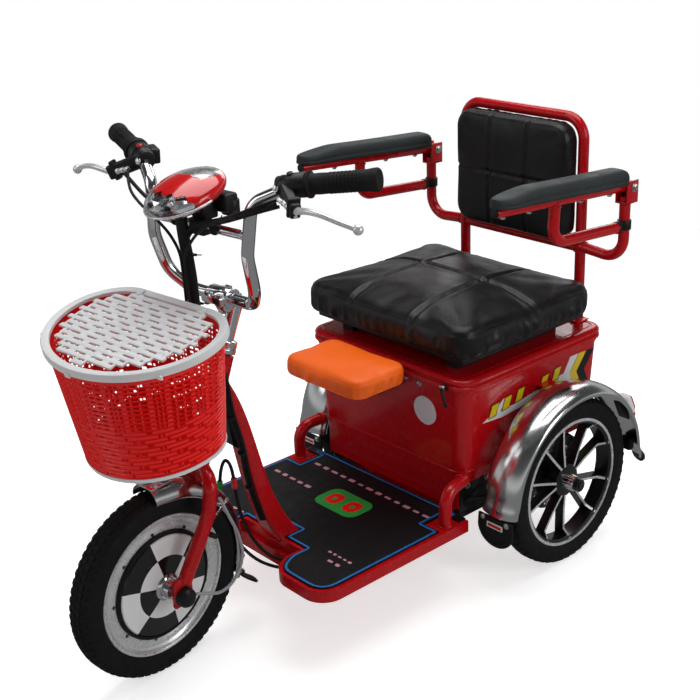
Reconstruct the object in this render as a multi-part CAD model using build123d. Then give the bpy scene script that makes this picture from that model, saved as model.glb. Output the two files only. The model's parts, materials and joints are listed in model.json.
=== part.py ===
from build123d import *
import os
from math import asin, cos, degrees, radians, sin, tan

# Three-wheeled electric mobility scooter. Millimetres, +Z up, the ground at Z 0.
# The scooter faces -Y, the rider's left is +X, and the rear axle stands over Y 0.

# ---- driving dimensions: wheels and stance ----
wheelbase = 811.0
track = 554.0
front_tyre_radius = 179.0
rear_tyre_radius = 176.0
front_tyre_width = 54.0
rear_tyre_width = 50.0
rim_radius = 136.0
rim_wall = 12.0
rim_width = 38.0
hub_half_width = 30.0
hub_radius = 30.0
spindle_radius = 8.0
axle_tube_radius = 16.0
spoke_pairs = 5
spoke_spread = 12.0
spoke_width = 9.0
spoke_depth = 22.0
motor_radius = 102.0
motor_half_width = 20.0

# ---- driving dimensions: frame and deck ----
head_rake = 21.0
head_setback = 187.0
head_top_z = 560.0
head_tube_length = 165.0
head_tube_radius = 19.0
steerer_radius = 12.7
steer_rest_angle = 6.5
running_gap = 0.05
seat_gap = 0.4
rail_size = 30.0
rail_half_spacing = 120.0
deck_top_z = 162.0
deck_thickness = 24.0
deck_overhang = 18.0
deck_setback = 189.0
mat_thickness = 3.0
mat_inset = 8.0
hoop_radius = 12.5

# ---- driving dimensions: trunk, seat and arms ----
trunk_front_y = -236.0
trunk_rear_y = 184.0
trunk_height = 202.0
trunk_taper = 12.0
trunk_corner = 30.0
sheet_wall = 2.5
lid_overhang = 8.0
lid_height = 23.0
seat_lift = 40.0
seat_thickness = 66.0
seat_half_width = 225.0
seat_front_y = -246.0
seat_rear_y = 140.0
frame_tube_radius = 11.0
backrest_half_width = 161.0
backrest_cross_rise = 155.6
backrest_rise = 424.6
backrest_y = 178.0
arm_gap = 42.0
arm_pivot_rise = 302.6
arm_pivot_y = 186.0
arm_slope = 4.0
arm_pad_length = 377.0
arm_pad_half_width = 25.0
arm_pad_height = 30.0
pivot_bolt_radius = 4.0

# ---- driving dimensions: bars and basket ----
bar_radius = 11.0
grip_radius = 17.0
grip_length = 112.0
fender_sheet = 1.6
rear_fender_gap = 34.0
rear_fender_width = 88.0
front_fender_gap = 20.0
front_fender_width = 66.0
basket_half_width = 180.0
basket_length = 242.0
basket_depth = 209.0
basket_pitch = 11.6
basket_wall = 3.0
basket_rim_band = 15.0

# ---- places worked out from the driving dimensions ----
half_track = track / 2
head_top = Vector(0, head_setback - wheelbase, head_top_z)
steer_direction = Vector(0, sin(radians(head_rake)), cos(radians(head_rake)))
steer_axis = Axis(head_top, steer_direction)
front_hub = Vector(0, -wheelbase, front_tyre_radius)
trunk_floor_z = rear_tyre_radius + axle_tube_radius + rail_size
trunk_top_z = trunk_floor_z + trunk_height
trunk_side_gap = 15.0
trunk_half_width = half_track - rear_fender_width / 2 - trunk_side_gap
lid_top_z = trunk_top_z + seat_gap + lid_height
seat_bottom_z = lid_top_z + seat_lift
backrest_cross_z = lid_top_z + backrest_cross_rise
backrest_top_z = lid_top_z + backrest_rise
arm_x = seat_half_width + arm_gap
arm_pivot_z = lid_top_z + arm_pivot_rise
deck_half_width = trunk_half_width + deck_overhang
deck_front_y = deck_setback - wheelbase
rail_top_z = deck_top_z - deck_thickness
sides = {"left": 1, "right": -1}


def block(low, high):
    """A box between two corners."""
    size = [high[i] - low[i] for i in range(3)]
    middle = [(high[i] + low[i]) / 2 for i in range(3)]
    return Pos(*middle) * Box(*size)


def slab(half_width, low_y, high_y, low_z, high_z):
    """A box that is centred on X."""
    return block((-half_width, low_y, low_z), (half_width, high_y, high_z))


def rod(start, end, radius):
    """A round bar between two points."""
    start = Vector(*start)
    along = Vector(*end) - start
    plane = Plane(origin=start, z_dir=along)
    return plane * Cylinder(radius, along.length, align=(Align.CENTER, Align.CENTER, Align.MIN))


def cross_rod(centre, half_length, radius):
    """A round bar along X through a point."""
    along = Vector(half_length, 0, 0)
    return rod(centre - along, centre + along, radius)


def bent_tube(points, bend, radius):
    """A round tube along straight runs joined by arcs of the bend radii given."""
    path = FilletPolyline(*[tuple(point) for point in points], radius=bend)
    start = Plane(origin=path @ 0, z_dir=path % 0)
    return sweep(start * Circle(radius), path)


def cable(name, points, radius):
    """A cable along straight runs joined by the largest arcs that the runs leave room for."""
    runs = [after - before for before, after in zip(points, points[1:])]
    bends = []
    for before, after in zip(runs, runs[1:]):
        half_turn = radians(before.get_angle(after)) / 2
        bends.append(0.45 * min(before.length, after.length) / tan(half_turn))
    print(name, "bend radii", [round(bend) for bend in bends])
    return bent_tube(points, bends, radius)


def joined(shapes):
    """All the shapes welded into one."""
    result = shapes[0]
    for shape in shapes[1:]:
        result = result + shape
    return result


def mirrored(shape):
    """The same shape on the rider's other side."""
    return mirror(shape, about=Plane.YZ)


def both_sides(shape):
    """A left-hand piece together with its right-hand twin."""
    return Compound([shape, mirrored(shape)])


def steered(shape):
    """A steering part, built straight ahead, turned to where the bars rest."""
    return shape.rotate(steer_axis, steer_rest_angle)


def from_head(x, y, z):
    """A point measured from the top of the head tube."""
    return head_top + Vector(x, y, z)


def on_steer_axis(z):
    """The point of the steering axis at a height."""
    return Vector(0, head_top.Y - (head_top_z - z) * tan(radians(head_rake)), z)


def save(name, shape):
    shape.label = name
    export_step(shape, "parts/" + name + ".step")


# ---- wheels, built about the X axis at the origin ----
def tyre(radius, width):
    """A round tyre that seats on the rim."""
    section_radius = width / 2
    ring = Pos(0, radius - section_radius) * Circle(section_radius)
    above_rim = Pos(0, rim_radius + radius) * Rectangle(width * 2, radius * 2)
    return revolve(ring & above_rim, Axis.X)


def barrel(half_width, inner, outer):
    """A round ring about the X axis."""
    face = Pos(0, (inner + outer) / 2) * Rectangle(half_width * 2, outer - inner)
    return revolve(face, Axis.X)


def rim_ring(half_width):
    return barrel(half_width, rim_radius - rim_wall, rim_radius)


def rear_rim():
    """Cast wheel: rim, pairs of arms that spread from the hub, and the bored hub."""
    arm_low = hub_radius - 5
    arm_high = rim_radius - rim_wall / 2
    arm = block((-spoke_depth / 2, -spoke_width / 2, arm_low), (spoke_depth / 2, spoke_width / 2, arm_high))
    parts = [rim_ring(rim_width / 2), barrel(hub_half_width, spindle_radius + running_gap, hub_radius)]
    for pair in range(spoke_pairs):
        for side in (-1, 1):
            parts.append(Rot(360 / spoke_pairs * pair + side * spoke_spread, 0, 0) * arm)
    return joined(parts)


def front_rim():
    """Hub motor wheel: a wide dished rim round a motor drum."""
    bore = spindle_radius + running_gap
    dish_half_thickness = 5.0
    boss_radius = 22.0
    boss_half_width = motor_half_width + 16
    rim = rim_ring(rim_width / 2 + 3)
    dish = barrel(dish_half_thickness, motor_radius - 1, rim_radius - rim_wall + 1)
    drum = barrel(motor_half_width, bore, motor_radius)
    return joined([rim, dish, drum, barrel(boss_half_width, bore, boss_radius)])


def brake_disc():
    """The thin disc on its carrier, inboard of a rear wheel."""
    disc_radius = 74.0
    carrier_radius = 33.0
    carrier_half_width = 4.0
    disc = barrel(fender_sheet, carrier_radius - 1, disc_radius)
    return disc + barrel(carrier_half_width, axle_tube_radius, carrier_radius)


disc_offset = hub_half_width + 4
axle_centre = Vector(0, 0, rear_tyre_radius)
os.makedirs("parts", exist_ok=True)
for side, sign in sides.items():
    place = Pos(sign * half_track, 0, rear_tyre_radius)
    save("rear_tyre_" + side, place * tyre(rear_tyre_radius, rear_tyre_width))
    save("rear_rim_" + side, place * rear_rim())
    save("brake_disc_" + side, place * Pos(-sign * disc_offset, 0, 0) * brake_disc())

place = Pos(*front_hub)
save("front_tyre", steered(place * tyre(front_tyre_radius, front_tyre_width)))
save("front_rim", steered(place * front_rim()))

# ---- head and down tube ----
# Centre of each level of the down tube behind and below the head's top, with its width and depth.
foot_setback = 119.0
tube_levels = [(-16, -48, 38, 28), (24, -160, 42, 32), (42, -239, 44, 36), (67, -324, 48, 42),
               (foot_setback, rail_top_z - head_top_z, 66, 60)]
tube_corner = 10.0
head_end_overrun = 30.0
head_bottom = on_steer_axis(head_top_z - head_tube_length)


def down_tube():
    """The box-section tube from the head to the rails, which flares out at its foot."""
    sections = []
    for y, z, width, depth in tube_levels:
        sections.append(Pos(*from_head(0, y, z)) * RectangleRounded(width, depth, tube_corner))
    return loft(sections)


bore_low = on_steer_axis(head_bottom.Z - head_end_overrun)
bore_high = on_steer_axis(head_top_z + head_end_overrun)
head_bore = rod(bore_low, bore_high, steerer_radius + running_gap)
main_tube = rod(head_bottom, head_top, head_tube_radius) + down_tube() - head_bore
save("main_tube", main_tube)

# The cable guide is a wedge on the front of the down tube.
guide_half_width = 17.0
guide_outline = [(-16, -106), (4, -106), (28, -180), (8, -184), (-6, -172)]
guide_points = [tuple(from_head(0, y, z)) for y, z in guide_outline]
guide_face = make_face(Polyline(*guide_points, close=True))
cable_guide = extrude(guide_face, guide_half_width, dir=(1, 0, 0), both=True)
save("cable_guide", cable_guide - main_tube)


# ---- rails under the deck ----
foot_y = head_top.Y + foot_setback
rail_front_y = foot_y - 50
rail_step_y = trunk_front_y + 36
rail_rear_y = trunk_rear_y - 34
cross_places = [foot_y - 33, foot_y + 33, (foot_y + trunk_front_y) / 2, trunk_front_y + 30]


def rail_outline():
    """One rail seen from the side: level under the deck, then up and over the axle."""
    low_z = rail_top_z - rail_size
    step = rail_size * 1.4
    raised_z = trunk_floor_z - rail_size
    front = [(rail_front_y, rail_top_z), (rail_front_y, low_z)]
    lower = [(rail_step_y + step * 2, low_z), (-step, raised_z), (rail_rear_y, raised_z)]
    top_rear = [(rail_rear_y, trunk_floor_z), (-step - rail_size, trunk_floor_z)]
    upper = top_rear + [(rail_step_y + step, rail_top_z)]
    return front + lower + upper


def under_frame():
    """Two rails from the deck's front to behind the rear axle, with cross members."""
    parts = []
    for sign in (-1, 1):
        face = Plane.YZ * make_face(Polyline(*rail_outline(), close=True))
        parts.append(Pos(sign * rail_half_spacing, 0, 0) * extrude(face, rail_size / 2, both=True))
    for y in cross_places:
        half = rail_size / 2
        parts.append(slab(rail_half_spacing, y - half, y + half, rail_top_z - rail_size, rail_top_z))
    return joined(parts)


def rear_axle():
    """The axle tube, the spindles the wheels turn on, and their nuts."""
    nut_radius = 13.0
    nut_half_width = 5.0
    tube_half = half_track - disc_offset - 6
    spindle_half = half_track + hub_half_width + 14
    tube = cross_rod(axle_centre, tube_half, axle_tube_radius)
    parts = [tube, cross_rod(axle_centre, spindle_half, spindle_radius)]
    for sign in (-1, 1):
        nut = axle_centre + Vector(sign * (half_track + hub_half_width + 7), 0, 0)
        parts.append(cross_rod(nut, nut_half_width, nut_radius))
    return joined(parts)


save("under_frame", under_frame() - cross_rod(axle_centre, half_track, axle_tube_radius))
save("rear_axle", rear_axle())

# ---- deck ----
lobe_inner_x = 84.0
lobe_corner = 46.0
lobe_slant = 18.0
notch_depth = 80.0
notch_y = deck_front_y + notch_depth
hoop_x = deck_half_width - 18
hoop_y = trunk_front_y - 52
hoop_height = 70.0
hoop_bend = 34.0


def deck_outline(inset):
    """The foot deck seen from above: straight sides, two front lobes and the tube's notch."""
    half = deck_half_width - inset
    front = deck_front_y + inset
    inner = lobe_inner_x + inset
    side = [(half, trunk_front_y - 6), (half, front), (inner + lobe_slant, front),
            (inner, notch_y - notch_depth * 0.44), (inner, notch_y + inset)]
    points = side + [(-x, y) for x, y in reversed(side)]
    face = make_face(Polyline(*points, close=True))
    corners = [vertex for vertex in face.vertices() if vertex.Y < front + 1]
    return fillet(corners, lobe_corner - inset)


def deck_mat():
    """The rubber mat, cut back round the hoops' feet."""
    mat = extrude(Pos(0, 0, deck_top_z) * deck_outline(mat_inset), mat_thickness)
    reach = Vector(hoop_radius * 2.5, hoop_radius * 2.2, mat_thickness * 2)
    foot = Vector(hoop_x, hoop_y, deck_top_z)
    cut = block(tuple(foot - reach), tuple(foot + reach))
    return mat - cut - mirrored(cut) - main_tube


def deck_hoop():
    """The left bar that rises from the deck and leans back to the trunk."""
    foot = Vector(hoop_x, hoop_y, deck_top_z)
    knee = foot + Vector(0, 0, hoop_height)
    end = Vector(hoop_x - 10, trunk_front_y + 14, knee.Z + 4)
    return bent_tube([foot, knee, end], [hoop_bend], hoop_radius)


deck = extrude(Pos(0, 0, rail_top_z) * deck_outline(0), deck_thickness)
save("platform_deck", deck - main_tube)
save("deck_mat", deck_mat())


# ---- trunk ----
def trunk_section(z, half, front, rear, corner, inset):
    """The trunk's outline at a height, held in by the wall."""
    wide = 2 * (half - inset)
    deep = rear - front - 2 * inset
    return Pos(0, (front + rear) / 2, z) * RectangleRounded(wide, deep, corner - inset)


def trunk_solid(inset, floor):
    """The trunk's tapered body, filled in."""
    front = trunk_front_y + trunk_taper / 1.5
    rear = trunk_rear_y - trunk_taper / 2
    low = trunk_section(floor, trunk_half_width - trunk_taper, front, rear, trunk_corner, inset)
    high = trunk_section(trunk_top_z, trunk_half_width, trunk_front_y, trunk_rear_y, trunk_corner, inset)
    return loft([low, high])


hinge_radius = 7.0
hinge_pin_radius = 4.0
hinge_x = 120.0
hinge_half_length = 14.0
leaf_thickness = 4.0
lid_pivot = Vector(0, trunk_rear_y + lid_overhang + hinge_radius, trunk_top_z)


def hinge_pin(x):
    """The fixed half of one hinge: the pin between two cheeks on a leaf."""
    centre = lid_pivot + Vector(x, 0, 0)
    pin = cross_rod(centre, hinge_half_length + 12, hinge_pin_radius)
    leaf_low = (x - hinge_half_length - 12, trunk_rear_y - sheet_wall, trunk_top_z - 34)
    leaf_high = (x + hinge_half_length + 12, trunk_rear_y + leaf_thickness, trunk_top_z - 16)
    parts = [pin, block(leaf_low, leaf_high)]
    for sign in (-1, 1):
        middle = x + sign * (hinge_half_length + 8)
        low = (middle - 4, trunk_rear_y, trunk_top_z - 30)
        high = (middle + 4, lid_pivot.Y + hinge_pin_radius, trunk_top_z - 4)
        cheek = block(low, high) + cross_rod(centre + Vector(middle - x, 0, 0), 4, hinge_radius - 1)
        parts.append(cheek)
    return joined(parts)


trunk_apron_y = trunk_front_y + trunk_taper
trunk_inside = trunk_solid(sheet_wall, trunk_floor_z + sheet_wall)
trunk = trunk_solid(0, trunk_floor_z) - trunk_inside
apron_half = trunk_half_width - 26
apron_top_z = trunk_floor_z + trunk_taper
trunk = trunk + slab(apron_half, trunk_apron_y, trunk_apron_y + sheet_wall, deck_top_z, apron_top_z)
save("trunk_hinges", both_sides(hinge_pin(hinge_x) - trunk))
save("deck_hoops", both_sides(deck_hoop() - trunk - trunk_inside))

battery_half_width = 165.0
battery_length = 180.0
battery_height = 165.0
battery_rear_y = trunk_rear_y - 24
battery_low_z = trunk_floor_z + sheet_wall
battery_front_y = battery_rear_y - battery_length
battery_top_z = battery_low_z + battery_height
battery = slab(battery_half_width, battery_front_y, battery_rear_y, battery_low_z, battery_top_z)
save("battery_block", battery)


def lid_shell():
    """The trunk lid: a shallow pan, with the turning halves of its hinges."""
    half = trunk_half_width + lid_overhang
    front = trunk_front_y - lid_overhang
    rear = trunk_rear_y + lid_overhang
    base = trunk_top_z + seat_gap
    corner = trunk_corner + 6
    outer = extrude(trunk_section(base, half, front, rear, corner, 0), lid_height)
    outer = fillet(outer.edges().group_by(Axis.Z)[-1], 6)
    inner = trunk_section(base, half, front, rear, corner, sheet_wall)
    lid = outer - extrude(inner, lid_height - sheet_wall)
    for sign in (-1, 1):
        centre = lid_pivot + Vector(sign * hinge_x, 0, 0)
        x = centre.X
        low = (x - hinge_half_length, rear - sheet_wall / 2, base + 2)
        high = (x + hinge_half_length, lid_pivot.Y, base + hinge_radius)
        knuckle = cross_rod(centre, hinge_half_length, hinge_radius) + block(low, high)
        lid = lid + (knuckle - cross_rod(centre, hinge_half_length + 1, hinge_pin_radius + running_gap))
    return lid


save("trunk_lid", lid_shell())
latch_x = 180.0
latch_half_width = 5.0
latch_length = 30.0
latch_front_y = trunk_front_y - lid_overhang * 2
latch_low = (latch_x - latch_half_width, latch_front_y, trunk_top_z - latch_length - 4)
latch_high = (latch_x + latch_half_width, trunk_front_y + 1, trunk_top_z - 4)
save("trunk_latch", block(latch_low, latch_high) - trunk)

# ---- seat ----
tray_thickness = 8.0
tray_inset = 30.0
foot_x = 150.0


def seat_base():
    """The steel tray under the cushion and the two runners it stands on."""
    tray_half = seat_half_width - tray_inset - 5
    low_z = seat_bottom_z - tray_thickness
    tray = slab(tray_half, seat_front_y + tray_inset, seat_rear_y - tray_inset / 1.5, low_z, seat_bottom_z)
    parts = [tray]
    for sign in (-1, 1):
        runner = slab(rail_size / 2, seat_front_y + 50, seat_rear_y - 40, lid_top_z, low_z)
        parts.append(Pos(sign * foot_x, 0, 0) * runner)
    return joined(parts)


def cushion(low, high, corner, edge):
    """A plain padded block with rounded corners and softened edges."""
    solid = block(low, high)
    solid = fillet(solid.edges().filter_by(Axis.Z), corner)
    return fillet(solid.edges().group_by(Axis.Z)[-1], edge)


seat_low = (-seat_half_width, seat_front_y, seat_bottom_z)
seat_high = (seat_half_width, seat_rear_y, seat_bottom_z + seat_thickness)
save("seat_base", seat_base())
save("seat_cushion", cushion(seat_low, seat_high, 34, 24))

bolt_half_length = 19.0
cheek_thickness = 3.0
cheek_half_gap = 11.5


def arm_post(sign):
    """The tube that carries one armrest, with the fork and the bolt at its top."""
    start = (sign * backrest_half_width, backrest_y, backrest_cross_z + 4)
    elbow = (sign * arm_x, backrest_y, backrest_cross_z - 4)
    top = (sign * arm_x, backrest_y, arm_pivot_z - 18)
    parts = [bent_tube([start, elbow, top], [42], frame_tube_radius)]
    outer = cheek_half_gap + cheek_thickness
    low_z = arm_pivot_z - 32
    base = slab(outer, backrest_y - 14, backrest_y + 22, low_z, low_z + 4)
    for cheek in (-1, 1):
        wall = slab(cheek_thickness / 2, backrest_y - 14, backrest_y + 22, low_z, arm_pivot_z + 14)
        base = base + Pos(cheek * (outer - cheek_thickness / 2), 0, 0) * wall
    parts.append(Pos(sign * arm_x, 0, 0) * base)
    pivot = Vector(sign * arm_x, arm_pivot_y, arm_pivot_z)
    parts.append(cross_rod(pivot, bolt_half_length, pivot_bolt_radius))
    return joined(parts)


def backrest_frame():
    """A round-cornered tube hoop, a cross tube and the two arm posts, all one weld."""
    half = backrest_half_width
    hoop = [(half, lid_top_z), (half, backrest_top_z), (-half, backrest_top_z), (-half, lid_top_z)]
    hoop_path = [(x, backrest_y, z) for x, z in hoop]
    cross = cross_rod(Vector(0, backrest_y, backrest_cross_z), half, 9)
    return joined([bent_tube(hoop_path, [44, 44], frame_tube_radius), cross, arm_post(1), arm_post(-1)])


def backrest_cushion():
    """The padded board that fills the front of the hoop."""
    side_gap = 14.0
    thickness = 44.0
    rear_y = backrest_y - 3
    high_z = backrest_top_z - 14
    pad = slab(backrest_half_width - side_gap, rear_y - thickness, rear_y, backrest_cross_z + 15, high_z)
    pad = fillet(pad.edges().filter_by(Axis.Y), 40)
    return fillet(pad.edges().group_by(Axis.Y)[0], 12)


save("backrest_frame", backrest_frame())
save("backrest_cushion", backrest_cushion())

# ---- armrests, built with the pivot at the origin and the arm along -Y ----
arm_tube_radius = 9.0
loop_drop = 80.0
loop_front = -226.0
loop_rear = -24.0
loop_bend = 34.0
pad_rear = -22.0
arm_place = Pos(arm_x, arm_pivot_y, arm_pivot_z) * Rot(-arm_slope, 0, 0)


def armrest_frame():
    """The pad's tube with the loop under it and the pivot bore."""
    tube = rod((0, 12, 0), (0, -arm_pad_length - 4, 0), arm_tube_radius)
    loop_points = [(0, loop_front, 0), (0, loop_front, -loop_drop), (0, loop_rear, -loop_drop)]
    loop = bent_tube(loop_points, [loop_bend], frame_tube_radius)
    return tube + loop - cross_rod(Vector(0, 0, 0), 30, pivot_bolt_radius + running_gap)


def armrest_pad():
    """The long foam pad on top of the tube."""
    high_z = arm_tube_radius + arm_pad_height
    pad = slab(arm_pad_half_width, pad_rear - arm_pad_length, pad_rear, arm_tube_radius, high_z)
    pad = fillet(pad.edges().filter_by(Axis.Z), arm_pad_half_width - 1)
    return fillet(pad.edges().group_by(Axis.Z)[-1], 12)


for side, sign in sides.items():
    frame = arm_place * armrest_frame()
    pad = arm_place * armrest_pad()
    save("armrest_frame_" + side, frame if sign > 0 else mirrored(frame))
    save("armrest_pad_" + side, pad if sign > 0 else mirrored(pad))

# ---- child's seat, on a bracket from the trunk's front ----
child_half_width = 110.0
child_length = 140.0
child_gap = 34.0
child_thickness = 42.0
child_lift = 2.0
child_low_z = trunk_top_z + child_lift
child_rear_y = trunk_front_y - child_gap
child_front_y = child_rear_y - child_length
child_low = (-child_half_width, child_front_y, child_low_z)
child_high = (child_half_width, child_rear_y, child_low_z + child_thickness)


def child_seat_bracket():
    """The plate under the small cushion and the arm back to the trunk."""
    plate = slab(child_half_width - 20, child_front_y + 20, child_rear_y, child_low_z - 5, child_low_z)
    arm = slab(rail_size, child_rear_y - 30, trunk_front_y + 1, child_low_z - 45, child_low_z - 5)
    return plate + arm - trunk - trunk_inside


save("child_seat_cushion", cushion(child_low, child_high, 30, 14))
save("child_seat_bracket", child_seat_bracket())


# ---- mudguards and lights ----
def fender_core(radius, width, crown):
    """All the room under a mudguard's outer skin, as a solid wheel about the X axis."""
    half = width / 2
    skin = ThreePointArc((-half, radius - crown), (0, radius), (half, radius - crown))
    walls = Polyline(skin @ 1, (half, 0), (-half, 0), skin @ 0)
    return revolve(make_face([skin, walls]), Axis.X)


def fender(radius, width, crown, start_angle, sweep_angle):
    """A curved mudguard about the X axis; angle 0 points forward and 90 points up."""
    half = width / 2
    inner_radius = radius - fender_sheet
    outer = ThreePointArc((-half, radius - crown), (0, radius), (half, radius - crown))
    inner = ThreePointArc((half, inner_radius - crown), (0, inner_radius), (-half, inner_radius - crown))
    face = make_face([outer, Line(outer @ 1, inner @ 0), inner, Line(inner @ 1, outer @ 0)])
    return Rot(180 - start_angle - sweep_angle, 0, 0) * revolve(face, Axis.X, revolution_arc=sweep_angle)


rear_fender_radius = rear_tyre_radius + rear_fender_gap
rear_fender_x = half_track + 2
rear_crown = 16.0
rear_place = Pos(rear_fender_x, 0, rear_tyre_radius)
rear_fender = rear_place * fender(rear_fender_radius, rear_fender_width, rear_crown, 0, 182)
rear_keep_out = rear_place * fender_core(rear_fender_radius, rear_fender_width, rear_crown)
stay_half_length = 20.0


def fender_stay():
    """The tab on the trunk's left side that the mudguard is bolted to."""
    edge_z = rear_tyre_radius + rear_fender_radius - rear_crown
    low = (trunk_half_width - trunk_taper, -stay_half_length, edge_z)
    high = (rear_fender_x - rear_fender_width / 2 + 12, stay_half_length, edge_z + leaf_thickness)
    return block(low, high) - trunk_inside - rear_keep_out


def rear_mud_flap():
    """The round rubber flap on the front end of the left mudguard."""
    reach = rear_crown / 2
    half = rear_fender_width / 2 - 2
    drop = 60
    low = (rear_fender_x - half, -rear_fender_radius - reach, rear_tyre_radius - drop)
    high = (rear_fender_x + half, -rear_fender_radius + reach, rear_tyre_radius - 1)
    flap = block(low, high)
    lower = flap.edges().filter_by(Axis.Y).group_by(Axis.Z)[0]
    return fillet(lower, half * 0.72)


def tail_light():
    """The lamp on the rear slope of the left mudguard."""
    light_angle = 27.0
    lamp = block((-17.5, -32, -rear_crown), (17.5, 32, 26))
    lamp = fillet(lamp.edges().filter_by(Axis.Z), 14)
    lamp = Rot(light_angle - 90, 0, 0) * Pos(0, 0, rear_fender_radius) * lamp
    return rear_place * lamp - rear_keep_out


save("trunk_box", joined([trunk, fender_stay(), mirrored(fender_stay())]))
save("rear_fenders", both_sides(rear_fender))
save("rear_mud_flaps", both_sides(rear_mud_flap()))
save("tail_lights", both_sides(tail_light()))

# ---- fork ----
fork_half_spacing = 66.0
fork_tube_radius = 13.0
dropout_thickness = 8.0
crown_rise = 9.0
crown_clearance = 4.0
front_fender_radius = front_tyre_radius + front_fender_gap
front_crown = 28.0
crown_z = front_hub.Z + front_fender_radius - crown_clearance
leg_scale = front_tyre_radius / 179.0
leg_bends = [26 * leg_scale, 120 * leg_scale]
crown_centre = on_steer_axis(crown_z)
fender_place = Pos(*front_hub)
axle_cap_radius = 18.0
axle_half_length = 90.0


def fork():
    """Crown, two curved legs, dropouts, the steerer and the tab over the mudguard."""
    low = crown_centre - steer_direction * crown_rise
    parts = [rod(low, on_steer_axis(head_top_z + 4), steerer_radius)]
    parts.append(rod(low, head_bottom - steer_direction * 2, head_tube_radius))
    tab = slab(14, crown_centre.Y - 22, crown_centre.Y, crown_z - 42, crown_z)
    parts.append(tab - fender_place * fender_core(front_fender_radius, front_fender_width, front_crown))
    for sign in (-1, 1):
        x = sign * fork_half_spacing
        shoulder = crown_centre + Vector(x * 0.96, -31 * leg_scale, -5)
        knee = front_hub + Vector(x, 75, 132 * leg_scale)
        end = front_hub + Vector(x, 9, 22)
        parts.append(bent_tube([crown_centre, shoulder, knee, end], leg_bends, fork_tube_radius))
        low_z = front_hub.Z - 20
        plate = slab(dropout_thickness / 2, front_hub.Y - 15, front_hub.Y + 22, low_z, low_z + 54)
        parts.append(Pos(x, 0, 0) * plate)
    return joined(parts) - cross_rod(front_hub, axle_half_length, spindle_radius)


def front_axle():
    """The motor's spindle with its caps outside the fork."""
    axle = cross_rod(front_hub, axle_half_length - 2, spindle_radius)
    for sign in (-1, 1):
        inner = front_hub + Vector(sign * (fork_half_spacing + dropout_thickness / 2), 0, 0)
        outer = front_hub + Vector(sign * axle_half_length, 0, 0)
        axle = axle + rod(inner, outer, axle_cap_radius)
    return axle


def front_mud_flap():
    """The rubber flap that hangs from the front mudguard's rear end."""
    root = front_hub + Vector(0, front_fender_radius * 0.93, -front_fender_radius * 0.357)
    outline = [(-6, 8), (0, 8), (50, -34), (46, -38), (-4, -2)]
    points = [tuple(root + Vector(0, y, z)) for y, z in outline]
    face = make_face(Polyline(*points, close=True))
    return extrude(face, front_fender_width / 2 - 3, dir=(1, 0, 0), both=True)


fork_solid = fork()
axle_solid = front_axle()
front_fender_start = 86.0
front_fender_sweep = 115.0
skin_size = (front_fender_radius, front_fender_width, front_crown)
front_fender = fender_place * fender(*skin_size, front_fender_start, front_fender_sweep)
save("fork", steered(fork_solid))
save("front_axle", steered(axle_solid))
save("front_fender", steered(front_fender))
save("front_mud_flap", steered(front_mud_flap() - front_fender))

# ---- bars; they stand level across although the raked axis tips the fork ----
bar_clamp = from_head(0, 4, 110)
roll_angle = asin(sin(radians(head_rake)) * sin(radians(steer_rest_angle)))
ahead = Vector(0, -1, 0).rotate(Axis.Z, steer_rest_angle)
roll_axis = Axis(steered(Vertex(*bar_clamp)).center(), ahead)


def levelled(shape):
    """A part on the bars, turned with the steering and rolled level about the clamp."""
    return steered(shape).rotate(roll_axis, degrees(roll_angle))


bar_points = [from_head(78, 4, 110), from_head(110, -20, 146), from_head(117, -38, 214),
              from_head(124, -28, 302), from_head(189, 8, 334), from_head(315, 59, 350)]
bar_bends = [26, 60, 60, 34, 40]
brace_centre = from_head(0, -34, 248)
brace_half_length = 118.0
brace_radius = 8.0
headset_radius = 21.0
clamp_radius = 18.0
clamp_half_length = 26.0


def handlebar():
    """The swept cruiser bar with its cross brace."""
    other_side = [Vector(-point.X, point.Y, point.Z) for point in reversed(bar_points)]
    bends = list(reversed(bar_bends[1:])) + [bar_bends[0], bar_bends[0]] + bar_bends[1:]
    bar = bent_tube(other_side + bar_points, bends, bar_radius)
    return bar + cross_rod(brace_centre, brace_half_length, brace_radius)


def stem():
    """The quill above the head nut, at rest."""
    quill_top = on_steer_axis(head_top_z + 92)
    parts = [rod(on_steer_axis(head_top_z + 4), on_steer_axis(head_top_z + 26), headset_radius)]
    parts.append(rod(on_steer_axis(head_top_z + 20), quill_top, bar_radius))
    parts.append(rod(quill_top, bar_clamp, bar_radius + 3))
    return steered(joined(parts)) + levelled(cross_rod(bar_clamp, clamp_half_length, clamp_radius))


save("stem", stem() - levelled(cross_rod(bar_clamp, clamp_half_length * 2, bar_radius)))
save("handlebar", levelled(handlebar()))

bar_end = bar_points[-1]
grip_line = (bar_end - bar_points[-2]).normalized()
grip_root = bar_end - grip_line * grip_length
collar_length = 10.0
housing_length = 34.0
lever_pivot = from_head(226, -32, 307)
lever_knee = from_head(288, -40, 314)
lever_tip = from_head(346, -20, 294)
lever_radius = 4.5
ball_radius = 8.0


def grip():
    """The left rubber grip, closed over the bar's end, with the switch housing inboard."""
    collar_start = grip_root - grip_line * collar_length
    housing_start = collar_start - grip_line * housing_length
    parts = [rod(grip_root, bar_end + grip_line * 5, grip_radius)]
    parts.append(rod(collar_start, grip_root, grip_radius + 5))
    parts.append(rod(housing_start, collar_start, grip_radius + 1))
    parts.append(rod(collar_start - grip_line * housing_length / 2, lever_pivot, 8))
    return joined(parts)


def brake_lever():
    """The left brake lever's blade with its ball end, and the block it turns in."""
    blade = bent_tube([lever_pivot, lever_knee, lever_tip], [90], lever_radius)
    along = (lever_knee - lever_pivot).normalized() * 12
    hub = rod(lever_pivot - along, lever_pivot + along, 8)
    return joined([blade, Pos(*lever_tip) * Sphere(ball_radius), hub])


left_bar = handlebar()
left_grip = grip()
left_lever = brake_lever() - left_grip - left_bar
save("grips", levelled(both_sides(left_grip - left_bar)))
save("brake_levers", levelled(both_sides(left_lever)))

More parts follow.
